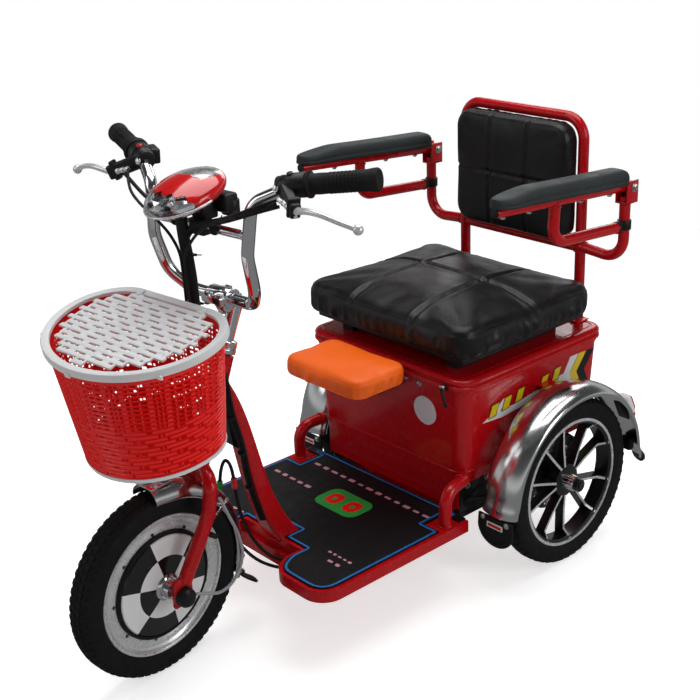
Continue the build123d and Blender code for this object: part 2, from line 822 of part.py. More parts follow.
# ---- headlight ----
headlight_centre = from_head(4, -62, 310)
headlight_size = (124.0, 154.0, 56.0)
headlight_tip = 16.0
bracket_half_width = 16.0


def headlight():
    """The egg-shaped lamp pod and the bracket that hangs it on the cross brace."""
    pod = scale(Sphere(50), by=tuple(size / 100 for size in headlight_size))
    pod = Pos(*headlight_centre) * Rot(headlight_tip, 0, 0) * pod
    low = brace_centre - Vector(bracket_half_width, brace_radius + 2, brace_radius + 6)
    high = Vector(headlight_centre.X + bracket_half_width, brace_centre.Y + 32, headlight_centre.Z)
    bracket = block(tuple(low), tuple(high))
    return pod + bracket - cross_rod(brace_centre, brace_half_length, brace_radius)


lamp_solid = headlight()
save("headlight", levelled(lamp_solid))

# ---- basket, built from the middle of its rear top edge ----
basket_corner = 95.0
band_overlap = 9.0
bottom_shrink = 48.0
bottom_rear_shift = 42.0
bottom_front_shift = 4.0
lid_inset = 21.0
lid_thickness = 5.0
lid_lift = 1.0
clip_x = 78.0
clip_half_width = 4.0
lid_pin_radius = 2.5
basket_lid_pivot = Vector(0, -lid_inset + 1, lid_lift + lid_thickness / 2)
basket_place = Pos(*from_head(0, -93.8, 130)) * Rot(basket_pitch, 0, 0)


def basket_outline(z, half, rear, front, corner):
    """A straight rear edge, two round corners and half an ellipse in front."""
    shoulder = rear - corner
    rear_edge = Line((-half + corner, rear), (half - corner, rear))
    right = RadiusArc((half - corner, rear), (half, shoulder), corner)
    nose = EllipticalCenterArc((0, shoulder), half, shoulder - front, start_angle=180, arc_size=180)
    left = RadiusArc((-half, shoulder), (-half + corner, rear), corner)
    return Pos(0, 0, z) * make_face([rear_edge, right, nose, left])


def top_outline(z, inset):
    half, corner = basket_half_width - inset, basket_corner - inset
    return basket_outline(z, half, -inset, inset - basket_length, corner)


def bottom_outline(z, inset):
    half = basket_half_width - bottom_shrink - inset
    rear = -bottom_rear_shift - inset
    front = bottom_front_shift + inset - basket_length
    return basket_outline(z, half, rear, front, basket_corner - 25 - inset)


def basket_shell():
    """The tapered tub, open at the top."""
    outside = loft([bottom_outline(-basket_depth, 0), top_outline(0, band_overlap)])
    inset = band_overlap + basket_wall
    inside = loft([bottom_outline(basket_wall - basket_depth, basket_wall), top_outline(0, inset)])
    return outside - inside


def clip_block(sign):
    """One of the two clips on the band that hold the lid's pins."""
    low = Vector(sign * clip_x - clip_half_width, basket_lid_pivot.Y - 4, 0)
    high = Vector(sign * clip_x + clip_half_width, -basket_rim_band + 6, basket_lid_pivot.Z + 5)
    return block(tuple(low), tuple(high))


def basket_rim():
    """The flat white band round the top, with the two clips."""
    ring = extrude(top_outline(0, 0), lid_thickness)
    ring -= extrude(top_outline(0, basket_rim_band), lid_thickness)
    solid = joined([ring, clip_block(1), clip_block(-1)])
    return solid - cross_rod(basket_lid_pivot, basket_half_width, lid_pin_radius + running_gap)


def basket_lid():
    """The slatted lid as a plate, with a pin into each clip."""
    plate = extrude(top_outline(lid_lift, lid_inset), lid_thickness)
    for sign in (-1, 1):
        x = sign * clip_x
        gap = clip_half_width + 1.5
        plate = plate - slab(gap, -lid_inset - 10, 0, 0, 20).moved(Location((x, 0, 0)))
        plate = plate + cross_rod(basket_lid_pivot + Vector(x, 0, 0), clip_half_width + 6, lid_pin_radius)
    return plate


def basket_bracket():
    """The strap under the basket's floor and the upright down to the fork's crown."""
    strap_half = 16.0
    rear = -bottom_rear_shift - 6
    strap = slab(strap_half, rear - 100, rear, -basket_depth - 4, -basket_depth)
    corner = (basket_place * Pos(0, rear, -basket_depth)).position
    upright = slab(strap_half, corner.Y - 4, corner.Y, crown_z - 2, corner.Z - 2)
    foot = slab(strap_half, corner.Y, crown_centre.Y, crown_z - 2, crown_z + 4)
    return levelled(basket_place * strap) + steered(upright + foot)


save("basket_shell", levelled(basket_place * basket_shell()))
save("basket_rim", levelled(basket_place * basket_rim()))
save("basket_lid", levelled(basket_place * basket_lid()))
save("basket_bracket", basket_bracket() - steered(fork_solid) - levelled(basket_place * basket_shell()))

# ---- sleeve, looms and cables ----
loom_radius = 10.0
cable_radius = 2.6
wire_radius = 3.0
sleeve_route = [(-8, -66, 268), (-10, -62, 230), (-9, -57, 190), (-8, -54, 150), (-10, -52, 110),
                (-8, -47, 70), (-3, -38, 34)]
frame_route = [(20, -42, 16), (31, -28, -20), (34, -26, -60), (33, -20, -104), (31, -7, -144),
               (28, 2, -184), (22, 10, -224), (17, 20, -264), (15, 32, -304), (12, 47, -348)]
brake_route = [(186, -27, 318), (160, -50, 308), (130, -70, 294), (94, -80, 280), (58, -80, 262),
               (28, -76, 238), (6, -76, 210), (3, -76, 176), (3, -75, 140), (6, -72, 104), (11, -68, 74)]
wire_route = [(82, 8, 4), (85, 42, -10), (85, 74, -26), (85, 104, -21), (85, 127, 4), (85, 134, 36),
              (84, 124, 78), (83, 108, 114), (83, 96, 142), (82, 87, 164)]


def routed(name, route, radius):
    """A cable through points measured from the head's top."""
    return cable(name, [from_head(*point) for point in route], radius)


sleeve = routed("steering_loom", sleeve_route, loom_radius)
save("steering_loom", levelled(sleeve - lamp_solid - left_bar))
save("frame_loom", routed("frame_loom", frame_route, loom_radius) - main_tube - cable_guide)
brake_cable = routed("brake_cable", brake_route, cable_radius) - left_lever - left_grip
save("brake_cables", levelled(both_sides(brake_cable - lamp_solid - left_bar - sleeve)))
wire_points = [front_hub + Vector(*point) for point in wire_route]
hub_wire = cable("hub_wire", wire_points, wire_radius) - axle_solid
save("hub_wire", steered(hub_wire))
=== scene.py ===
import bpy
import bmesh
import json
from math import asin, atan2, ceil, cos, degrees, hypot, pi, radians, sin, sqrt, tan
from mathutils import Matrix, Vector, noise


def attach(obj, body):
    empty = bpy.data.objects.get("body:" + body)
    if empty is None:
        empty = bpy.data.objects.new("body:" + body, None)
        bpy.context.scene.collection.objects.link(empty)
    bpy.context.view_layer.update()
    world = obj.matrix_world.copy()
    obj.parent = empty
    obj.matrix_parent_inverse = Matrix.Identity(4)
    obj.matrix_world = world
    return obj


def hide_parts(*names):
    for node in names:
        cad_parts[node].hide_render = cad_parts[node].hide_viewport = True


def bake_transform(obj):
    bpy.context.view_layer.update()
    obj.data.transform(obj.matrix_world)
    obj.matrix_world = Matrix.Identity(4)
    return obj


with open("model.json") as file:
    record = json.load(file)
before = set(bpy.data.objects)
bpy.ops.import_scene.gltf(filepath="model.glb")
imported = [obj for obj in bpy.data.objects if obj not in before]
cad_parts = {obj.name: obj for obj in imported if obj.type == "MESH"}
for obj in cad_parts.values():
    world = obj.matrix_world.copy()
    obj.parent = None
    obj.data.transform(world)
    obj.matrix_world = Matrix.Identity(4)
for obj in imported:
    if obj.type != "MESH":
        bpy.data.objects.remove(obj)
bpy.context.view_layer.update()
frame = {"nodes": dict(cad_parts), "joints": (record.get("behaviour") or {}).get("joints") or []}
nodes = frame["nodes"]
joints = {joint["name"]: joint for joint in frame["joints"]}
scene = bpy.context.scene
scene.view_settings.view_transform = "Standard"
print("frame loaded:", len(nodes), "nodes")


# ---- small helpers ----
def turnAbout(point, axis, angle):
    return Matrix.Translation(point) @ Matrix.Rotation(angle, 4, axis) @ Matrix.Translation(-point)


def tilt(angle, axis="X"):
    return Matrix.Rotation(radians(angle), 4, axis)


def clamp(value, low, high):
    return max(low, min(high, value))


def smoothStep(low, high, value):
    t = clamp((value - low) / (high - low), 0.0, 1.0)
    return t * t * (3 - 2 * t)


# Where the bars rest: turned with the fork, then rolled level about the clamp.
stance = {"restTurn": 6.5, "clampRise": 0.11, "clampBack": 0.004}
steerPoint = Vector(joints["steering_turn"]["pos_m"])
steerAxis = Vector(joints["steering_turn"]["axis"]).normalized()
restTurn = radians(stance["restTurn"])
steered = turnAbout(steerPoint, steerAxis, restTurn)
headRake = atan2(steerAxis.y, steerAxis.z)
clampPoint = steered @ (steerPoint + Vector((0, stance["clampBack"], stance["clampRise"])))
aheadAxis = Matrix.Rotation(restTurn, 3, "Z") @ Vector((0, -1, 0))
levelled = turnAbout(clampPoint, aheadAxis, asin(sin(headRake) * sin(restTurn))) @ steered


def fromHead(x, y, z):
    return steerPoint + Vector((x, y, z)) / 1000


# ---- shader maths ----
class Wire:
    # one output socket of a node tree, so that sums and products read as such
    def __init__(self, tree, socket):
        self.tree = tree
        self.socket = socket

    def maths(self, operation, first, second=None):
        node = self.tree.nodes.new("ShaderNodeMath")
        node.operation = operation
        for index, value in enumerate((first, second)):
            if isinstance(value, Wire):
                self.tree.links.new(value.socket, node.inputs[index])
            elif value is not None:
                node.inputs[index].default_value = value
        return Wire(self.tree, node.outputs[0])

    def __add__(self, other):
        return self.maths("ADD", self, other)

    def __radd__(self, other):
        return self.maths("ADD", other, self)

    def __sub__(self, other):
        return self.maths("SUBTRACT", self, other)

    def __rsub__(self, other):
        return self.maths("SUBTRACT", other, self)

    def __mul__(self, other):
        return self.maths("MULTIPLY", self, other)

    def __rmul__(self, other):
        return self.maths("MULTIPLY", other, self)

    def __truediv__(self, other):
        return self.maths("DIVIDE", self, other)

    def __abs__(self):
        return self.maths("ABSOLUTE", self)

    def sine(self):
        return self.maths("SINE", self)

    def above(self, limit):
        return self.maths("GREATER_THAN", self, limit)

    def below(self, limit):
        return self.maths("LESS_THAN", self, limit)

    def wrapped(self, period):
        return self.maths("FLOORED_MODULO", self, period)

    def root(self):
        return self.maths("SQRT", self)


def emptyTree(owner):
    owner.use_nodes = True
    owner.node_tree.nodes.clear()
    return owner.node_tree


def addNode(tree, kind, settings=None, inputs=None):
    # an input takes a wire, a socket or a plain value
    made = tree.nodes.new(kind)
    for key, value in (settings or {}).items():
        if key == "stops":
            ramp = made.color_ramp
            while len(ramp.elements) < len(value):
                ramp.elements.new(0.5)
            for element, (place, colour) in zip(ramp.elements, value):
                element.position = place
                element.color = (*colour, 1)
        else:
            setattr(made, key, value)
    for key, value in (inputs or {}).items():
        socket = made.inputs[key]
        if isinstance(value, Wire):
            tree.links.new(value.socket, socket)
        elif isinstance(value, bpy.types.NodeSocket):
            tree.links.new(value, socket)
        elif socket.type == "RGBA" and len(value) == 3:
            socket.default_value = (*value, 1)
        else:
            socket.default_value = value
    return made


class Finish:
    # a material with one Principled shader, built node by node
    def __init__(self, name, slot, **plain):
        self.material = bpy.data.materials.new(name)
        self.tree = emptyTree(self.material)
        self.slot = slot
        self.shader = self.node("ShaderNodeBsdfPrincipled", {}, plain)
        output = self.node("ShaderNodeOutputMaterial")
        self.tree.links.new(self.shader.outputs[0], output.inputs[0])
        self.where = self.node("ShaderNodeTexCoord").outputs["Object"]

    def node(self, kind, settings=None, inputs=None):
        return addNode(self.tree, kind, settings, inputs)

    def wire(self, node, output=0):
        return Wire(self.tree, node.outputs[output])

    def axes(self):
        split = self.node("ShaderNodeSeparateXYZ", {}, {0: self.where})
        return [self.wire(split, index) for index in range(3)]

    def noise(self, scale, detail=3.0, rough=0.5, stretch=None):
        where = self.where
        if stretch:
            where = self.node("ShaderNodeMapping", {}, {"Vector": where, "Scale": stretch}).outputs[0]
        facts = {"Vector": where, "Scale": scale, "Detail": detail, "Roughness": rough}
        return self.wire(self.node("ShaderNodeTexNoise", {}, facts))

    def cells(self, scale, feature="F1"):
        return self.wire(self.node("ShaderNodeTexVoronoi", {"feature": feature},
                                   {"Vector": self.where, "Scale": scale}))

    def spread(self, value, low, high, fromLow=0.3, fromHigh=0.7):
        facts = {"Value": value, 1: fromLow, 2: fromHigh, 3: low, 4: high}
        return self.wire(self.node("ShaderNodeMapRange", {}, facts))

    def blendOf(self, factor, first, second):
        made = self.node("ShaderNodeMix", {"data_type": "RGBA"}, {0: factor, 6: first, 7: second})
        return made.outputs[2]

    def bump(self, height, strength, distance):
        facts = {"Height": height, "Strength": strength, "Distance": distance}
        if self.shader.inputs["Normal"].is_linked:
            facts["Normal"] = self.shader.inputs["Normal"].links[0].from_socket
        made = self.node("ShaderNodeBump", {}, facts)
        self.tree.links.new(made.outputs[0], self.shader.inputs["Normal"])

    def feed(self, socket, value):
        source = value.socket if isinstance(value, Wire) else value
        self.tree.links.new(source, self.shader.inputs[socket])


def enamel(name, slot, colour, deep, rough=0.2):
    # glossy stoved paint with a faint orange peel and a film of dust
    finish = Finish(name, slot, **{"Coat Weight": 0.5, "Coat Roughness": 0.05, "Coat IOR": 1.42,
                                   "Specular IOR Level": 0.2})
    finish.feed("Base Color", finish.blendOf(finish.noise(7, 4), colour, deep))
    finish.feed("Roughness", finish.spread(finish.noise(38, 5), rough, rough + 0.12))
    finish.bump(finish.noise(260, 2), 0.05, 0.0006)
    finish.bump(finish.noise(9, 2), 0.05, 0.004)
    return finish


def plated(name, slot, colour=(0.83, 0.84, 0.86), rough=0.05):
    # bright chrome plate with faint wiping marks
    finish = Finish(name, slot, Metallic=1.0)
    finish.feed("Base Color", finish.blendOf(finish.noise(30, 3), colour, tuple(c * 0.9 for c in colour)))
    smear = finish.noise(22, 5, 0.6, (1, 1, 0.3))
    finish.feed("Roughness", finish.spread(smear, rough, rough + 0.11, 0.4, 0.8))
    finish.bump(finish.noise(55, 3), 0.012, 0.0006)
    return finish


def castMetal(name, slot, colour, rough=0.3, grain=420, metal=1.0):
    # painted or turned alloy with a fine tooth
    finish = Finish(name, slot, Metallic=metal)
    finish.feed("Base Color", finish.blendOf(finish.noise(18, 4), colour, tuple(c * 0.82 for c in colour)))
    finish.feed("Roughness", finish.spread(finish.noise(60, 4), rough, rough + 0.14))
    finish.bump(finish.noise(grain, 3), 0.005, 0.0002)
    return finish


def moulded(name, slot, colour, rough=0.35, tooth=700, strength=0.12, coat=0.0):
    # injection moulded plastic with a spark-eroded tooth
    finish = Finish(name, slot, **{"Coat Weight": coat, "Coat Roughness": 0.08, "Specular IOR Level": 0.35})
    finish.feed("Base Color", finish.blendOf(finish.noise(14, 4), colour, tuple(c * 0.86 for c in colour)))
    finish.feed("Roughness", finish.spread(finish.noise(45, 4), rough, rough + 0.12))
    finish.bump(finish.noise(tooth, 2), strength, 0.0004)
    return finish


def rubberised(name, slot, colour, rough=0.55, tooth=900):
    # black rubber with dust in its pores
    finish = Finish(name, slot, **{"Specular IOR Level": 0.22})
    dust = finish.spread(finish.noise(24, 6, 0.65), 0.0, 0.3, 0.5, 0.9)
    finish.feed("Base Color", finish.blendOf(dust, colour, tuple(c * 2.0 + 0.003 for c in colour)))
    finish.feed("Roughness", finish.spread(finish.noise(50, 4), rough, rough + 0.2))
    finish.bump(finish.noise(tooth, 3), 0.25, 0.0005)
    finish.bump(finish.noise(70, 4), 0.08, 0.001)
    return finish


def leathered(name, slot, colour, light, rough, grain=560, crease=0.5):
    # embossed leathercloth: pebbled cells, a fine pore and long soft creases
    finish = Finish(name, slot, **{"Specular IOR Level": 0.3})
    wear = finish.spread(finish.noise(11, 6, 0.6), 0.0, 1.0, 0.35, 0.75)
    finish.feed("Base Color", finish.blendOf(wear, colour, light))
    finish.feed("Roughness", finish.spread(finish.noise(30, 5), rough, rough + 0.16))
    finish.bump(finish.cells(grain, "DISTANCE_TO_EDGE"), 0.35, 0.0006)
    finish.bump(finish.noise(grain * 3, 2), 0.1, 0.0002)
    finish.bump(finish.noise(34, 5, 0.55, (1.0, 1.7, 1.2)), crease * 0.3, 0.003)
    return finish


colours = {
    "red": (0.52, 0.002, 0.006), "redDeep": (0.42, 0.001, 0.004), 
    "orange": (0.9, 0.125, 0.004), "white": (0.8, 0.8, 0.81), "basketRed": (0.98, 0.006, 0.004),
    "yellow": (0.85, 0.62, 0.01), "green": (0.02, 0.35, 0.05),
    "blue": (0.004, 0.17, 0.52), "pink": (0.62, 0.28, 0.34),
}
recipes = [
    (enamel, "redPaint", "red_paint", colours["red"], colours["redDeep"]),
    (enamel, "blackPaint", "black_paint", (0.014, 0.014, 0.015), (0.008, 0.008, 0.009), 0.35),
    (plated, "chrome", "chrome"),
    (plated, "fenderChrome", "chrome", (0.72, 0.73, 0.74), 0.15),
    (castMetal, "turnedSteel", "dark_steel", (0.34, 0.34, 0.36), 0.28),
    (castMetal, "zincBolt", "chrome", (0.66, 0.66, 0.66), 0.22),
    (castMetal, "discSteel", "disc_steel", (0.55, 0.55, 0.56), 0.2, 900),
    (castMetal, "silverRim", "silver_alloy", (0.84, 0.85, 0.86), 0.22, 160, 0.55),
    (castMetal, "machined", "machined_alloy", (0.86, 0.87, 0.89), 0.2, 300, 0.6),
    (enamel, "blackAlloy", "machined_alloy", (0.01, 0.01, 0.011), (0.006, 0.006, 0.007), 0.3),
    (rubberised, "rubber", "rubber", (0.008, 0.008, 0.0085)),
    (rubberised, "tyreRubber", "tyre", (0.0055, 0.006, 0.0062), 0.6),
    (moulded, "blackPlastic", "black_plastic", (0.007, 0.007, 0.0078)),
    (moulded, "glossBlack", "rubber", (0.006, 0.006, 0.007), 0.12, 300, 0.03, 0.5),
    (moulded, "glossWhite", "silver_alloy", (0.86, 0.86, 0.86), 0.12, 300, 0.03, 0.5),
    (moulded, "basketPlastic", "red_plastic", colours["basketRed"], 0.28, 500, 0.06, 0.25),
    (moulded, "whitePlastic", "white_plastic", colours["white"], 0.38, 500, 0.08),
    (moulded, "podRed", "red_plastic", (0.7, 0.006, 0.008), 0.1, 200, 0.03, 0.9),
    (moulded, "lampRed", "lamp_red", (0.55, 0.004, 0.008), 0.08, 200, 0.03, 0.8),
    (moulded, "caseGrey", "battery_case", (0.05, 0.05, 0.055), 0.45),
    (rubberised, "blackCable", "cable_black", (0.007, 0.007, 0.008), 0.42, 600),
    (rubberised, "greyCable", "cable_grey", (0.3, 0.3, 0.31), 0.4, 600),
    (leathered, "blackLeather", "black_leather", (0.006, 0.0062, 0.0065), (0.0125, 0.0128, 0.013), 0.27),
    (leathered, "orangeLeather", "orange_leather", colours["orange"], (0.94, 0.15, 0.008), 0.34, 620),
    (leathered, "foamSkin", "armrest_foam", (0.018, 0.024, 0.026), (0.03, 0.037, 0.039), 0.5, 900, 0.15),
    (moulded, "stickerYellow", "white_plastic", colours["yellow"], 0.25, 300, 0.03, 0.4),
    (moulded, "stickerGreen", "deck_mat", colours["green"], 0.4, 300, 0.05),
    (moulded, "stickerBlue", "deck_mat", colours["blue"], 0.4, 300, 0.05),
    (moulded, "stickerPink", "deck_mat", colours["pink"], 0.45, 300, 0.05),
    (moulded, "stickerSilver", "chrome", (0.72, 0.7, 0.74), 0.3, 300, 0.05),
]
finishes = {name: make(name, *facts) for make, name, *facts in recipes}


def clearPlastic():
    # the clear front of the lamp pod, over its faceted mirror
    finish = Finish("clearLens", "red_plastic", **{"Transmission Weight": 1.0, "IOR": 1.46,
                                                   "Roughness": 0.02})
    finish.feed("Base Color", finish.blendOf(finish.noise(20, 2), (0.97, 0.98, 0.99), (0.93, 0.94, 0.95)))
    return finish


def matRubber():
    # the deck mat: black with a fine raised grain
    finish = Finish("matRubber", "deck_mat", **{"Specular IOR Level": 0.16})
    x, y = finish.axes()[:2]
    finish.feed("Base Color", finish.blendOf(finish.noise(13, 5), (0.003, 0.0033, 0.0042),
                                             (0.0075, 0.008, 0.0095)))
    finish.feed("Roughness", finish.spread(finish.noise(40, 5), 0.42, 0.62))
    weave = (x * 2400).sine() * (y * 2400).sine()
    finish.bump(weave, 0.25, 0.0004)
    return finish


def displayGlass():
    # the pod's dark silver display window
    finish = Finish("displayGlass", "red_plastic", **{"Coat Weight": 1.0, "Coat Roughness": 0.03,
                                                      "Metallic": 0.85})
    finish.feed("Base Color", finish.blendOf(finish.noise(45, 3), (0.42, 0.43, 0.44), (0.62, 0.62, 0.63)))
    finish.feed("Roughness", finish.spread(finish.noise(70, 4), 0.18, 0.34))
    return finish


finishes["clearLens"] = clearPlastic()
finishes["deckMat"] = matRubber()
finishes["displayGlass"] = displayGlass()
print("finishes made:", len(finishes))


# ---- mesh helpers ----
def meshOf(bm, name):
    mesh = bpy.data.meshes.new(name)
    bm.to_mesh(mesh)
    bm.free()
    return mesh


def linked(name, data):
    made = bpy.data.objects.new(name, data)
    scene.collection.objects.link(made)
    return made


def live(verts):
    # leaves out what a bevel or a merge has used up
    return [vert for vert in verts if vert.is_valid]


def allEdges(verts):
    return list({edge for vert in verts for edge in vert.link_edges})


def allFaces(verts):
    return list({face for vert in verts for face in vert.link_faces})


def paint(verts, look):
    for face in allFaces(verts):
        face.material_index = look


def island(seeds):
    # everything that is joined to these vertices
    found = set(seeds)
    queue = list(found)
    while queue:
        vert = queue.pop()
        for edge in vert.link_edges:
            other = edge.other_vert(vert)
            if other not in found:
                found.add(other)
                queue.append(other)
    return list(found)


def softened(bm, edges, offset, segments=2, clamped=True):
    # bevels these edges and returns every vertex of the shape that they belong to
    made = bmesh.ops.bevel(bm, geom=list(edges), offset=offset, offset_type="OFFSET", affect="EDGES",
                           segments=segments, profile=0.5, material=-1, clamp_overlap=clamped)
    return island(made["verts"])


def strip(bm, first, second, closed=True, across=False):
    # quads between two rows of vertices; across starts each one with the step to the second row
    made = []
    for j in range(len(first) if closed else len(first) - 1):
        nxt = (j + 1) % len(first)
        quad = (first[j], first[nxt], second[nxt], second[j])
        if across:
            quad = (first[j], second[j], second[nxt], first[nxt])
        made.append(bm.faces.new(quad))
    return made


def extruded(bm, verts, step):
    # closes these vertices with a face and pulls it out by the step; returns the far vertices
    grown = bmesh.ops.extrude_face_region(bm, geom=[bm.faces.new(verts)])["geom"]
    far = [item for item in grown if isinstance(item, bmesh.types.BMVert)]
    bmesh.ops.translate(bm, vec=step, verts=far)
    return far


def addBlock(bm, low, high, soften=0.0, look=0, place=None, segments=2):
    low, high = Vector(low), Vector(high)
    verts = bmesh.ops.create_cube(bm, size=1)["verts"]
    bmesh.ops.scale(bm, vec=high - low, verts=verts)
    bmesh.ops.translate(bm, vec=(low + high) / 2, verts=verts)
    if place is not None:
        bmesh.ops.transform(bm, matrix=place, verts=verts)
    paint(verts, look)
    return softened(bm, allEdges(verts), soften, segments) if soften else verts


def along(start, end):
    # turns +Z to run from start to end, with its origin at start
    direction = end - start
    turn = direction.to_track_quat("Z", "Y").to_matrix().to_4x4()
    return Matrix.Translation(start) @ turn


def addRod(bm, start, end, radius, endRadius=None, sides=28, soften=0.0, look=0):
    start, end = Vector(start), Vector(end)
    length = (end - start).length
    endRadius = radius if endRadius is None else endRadius
    made = bmesh.ops.create_cone(bm, cap_ends=True, segments=sides, radius1=radius, radius2=endRadius,
                                 depth=length)
    verts = made["verts"]
    bmesh.ops.translate(bm, vec=(0, 0, length / 2), verts=verts)
    bmesh.ops.transform(bm, matrix=along(start, end), verts=verts)
    paint(verts, look)
    if soften:
        caps = [face for face in allFaces(verts) if len(face.verts) > 4]
        verts = softened(bm, {edge for face in caps for edge in face.edges}, soften)
    return verts


def addBall(bm, centre, radius, size=(1, 1, 1), look=0, sides=20):
    verts = bmesh.ops.create_uvsphere(bm, u_segments=sides, v_segments=sides // 2, radius=radius)["verts"]
    bmesh.ops.scale(bm, vec=size, verts=verts)
    bmesh.ops.translate(bm, vec=centre, verts=verts)
    paint(verts, look)
    return verts


def addLathe(bm, profile, steps=96, look=0, closed=False):
    # a profile of (along the axis, radius) points spun about X
    verts = [bm.verts.new((x, 0, r)) for x, r in profile]
    pairs = list(zip(verts, verts[1:])) + ([(verts[-1], verts[0])] if closed else [])
    edges = [bm.edges.new(pair) for pair in pairs]
    before = set(bm.verts)
    bmesh.ops.spin(bm, geom=verts + edges, cent=(0, 0, 0), axis=(1, 0, 0), angle=2 * pi, steps=steps,
                   use_merge=True)
    made = [vert for vert in bm.verts if vert not in before] + verts
    bmesh.ops.remove_doubles(bm, verts=made, dist=1e-7)
    made = live(made)
    paint(made, look)
    return made


def addCopies(bm, verts, count, axis=(1, 0, 0)):
    # the same shape repeated all the way round an axis through the origin
    geometry = list(verts) + allEdges(verts) + allFaces(verts)
    bmesh.ops.spin(bm, geom=geometry, cent=(0, 0, 0), axis=axis, angle=2 * pi * (count - 1) / count,
                   steps=count - 1, use_duplicate=True)


def curveMesh(points, radius, closed=False, smooth=True, detail=6, sides=6, radii=None):
    # a round tube whose line is a smooth spline through the control points
    data = bpy.data.curves.new("line", "CURVE")
    data.dimensions = "3D"
    data.bevel_depth = radius
    data.bevel_resolution = sides
    data.resolution_u = detail
    data.use_fill_caps = True
    line = data.splines.new("NURBS" if smooth else "POLY")
    line.points.add(len(points) - 1)
    for index, (point, spot) in enumerate(zip(line.points, points)):
        point.co = (*spot, 1)
        if radii:
            point.radius = radii[index]
    if smooth:
        line.order_u = 3
        line.use_endpoint_u = not closed
    line.use_cyclic_u = closed
    holder = bpy.data.objects.new("line", data)
    mesh = bpy.data.meshes.new_from_object(holder)
    bpy.data.objects.remove(holder)
    bpy.data.curves.remove(data)
    return mesh


def addTube(bm, points, radius, look=0, place=None, **options):
    mesh = curveMesh([Vector(point) for point in points], radius, **options)
    before = set(bm.verts)
    bm.from_mesh(mesh)
    bpy.data.meshes.remove(mesh)
    verts = [vert for vert in bm.verts if vert not in before]
    if place is not None:
        bmesh.ops.transform(bm, matrix=place, verts=verts)
    paint(verts, look)
    return verts


def placed(bm, verts, matrix):
    bmesh.ops.transform(bm, matrix=matrix, verts=verts)
    return verts


def mirrorX(bm, verts=None):
    # the same shape on the rider's other side, as a copy
    verts = list(verts or bm.verts)
    geometry = verts + allEdges(verts) + allFaces(verts)
    copy = bmesh.ops.duplicate(bm, geom=geometry)["geom"]
    fresh = [item for item in copy if isinstance(item, bmesh.types.BMVert)]
    bmesh.ops.scale(bm, vec=(-1, 1, 1), verts=fresh)


def addBolt(bm, point, direction, radius, height, look=0, sides=6, washer=True):
    point, direction = Vector(point), Vector(direction).normalized()
    if washer:
        addRod(bm, point, point + direction * height * 0.25, radius * 1.45, sides=20, look=look)
    start = point + direction * height * 0.2
    addRod(bm, start, point + direction * height, radius, sides=sides, soften=height * 0.12, look=look)


def finished(name, bm, looks, body, stands=(), place=None, merge=1e-6, angle=38, recalc=True):
    # turns a bmesh into a finished piece that rides on a body
    if place is not None:
        bmesh.ops.transform(bm, matrix=place, verts=bm.verts)
    if merge:
        bmesh.ops.remove_doubles(bm, verts=bm.verts, dist=merge)
    if recalc:
        bmesh.ops.recalc_face_normals(bm, faces=bm.faces)
    mesh = meshOf(bm, name)
    looks = [looks] if isinstance(looks, str) else looks
    for look in looks:
        mesh.materials.append(finishes[look].material)
    for polygon in mesh.polygons:
        polygon.use_smooth = True
    mesh.set_sharp_from_angle(angle=radians(angle))
    piece = linked(name, mesh)
    if body:
        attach(piece, body)
    if stands:
        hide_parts(*stands)
    return piece


# ---- camera, floor and light ----
view = {"place": (1.701, -1.822, 1.386), "azimuth": 48.64, "elevation": 21.78, "roll": -2.21, "lens": 64.51,
        "sensor": 36.0}


def makeCamera():
    a, e, r = (radians(view[key]) for key in ("azimuth", "elevation", "roll"))
    back = Vector((sin(a) * cos(e), -cos(a) * cos(e), sin(e)))
    right = Vector((cos(a), sin(a), 0))
    up = back.cross(right)
    rolledRight = right * cos(r) + up * sin(r)
    rolledUp = up * cos(r) - right * sin(r)
    turn = Matrix((rolledRight, rolledUp, back)).transposed().to_4x4()
    data = bpy.data.cameras.new("mainView")
    data.lens = view["lens"]
    data.sensor_width = view["sensor"]
    camera = linked("mainView", data)
    camera.matrix_world = Matrix.Translation(view["place"]) @ turn
    scene.camera = camera


studio = {"floorSize": 9.0, "floorGlow": 0.6, "floorTone": 0.9, "floorMirror": 0.2, "skyLight": 0.2,
          "skySeen": 1.0, "clearFrom": 1.1, "clearTo": 2.4}
lamps = {
    "overhead": {"place": (-0.2, 0.1, 2.9), "aim": (0, -0.3, 0.3), "size": (2.6, 2.2), "power": 56},
    "keyPanel": {"place": (-1.3, -2.9, 2.2), "aim": (0, -0.4, 0.4), "size": (1.5, 1.7), "power": 14},
    "sidePanel": {"place": (3.0, 0.5, 1.7), "aim": (0, 0, 0.4), "size": (1.2, 1.8), "power": 26},
    "rearPanel": {"place": (-1.6, 2.4, 2.0), "aim": (0, 0, 0.5), "size": (1.6, 1.4), "power": 16},
}


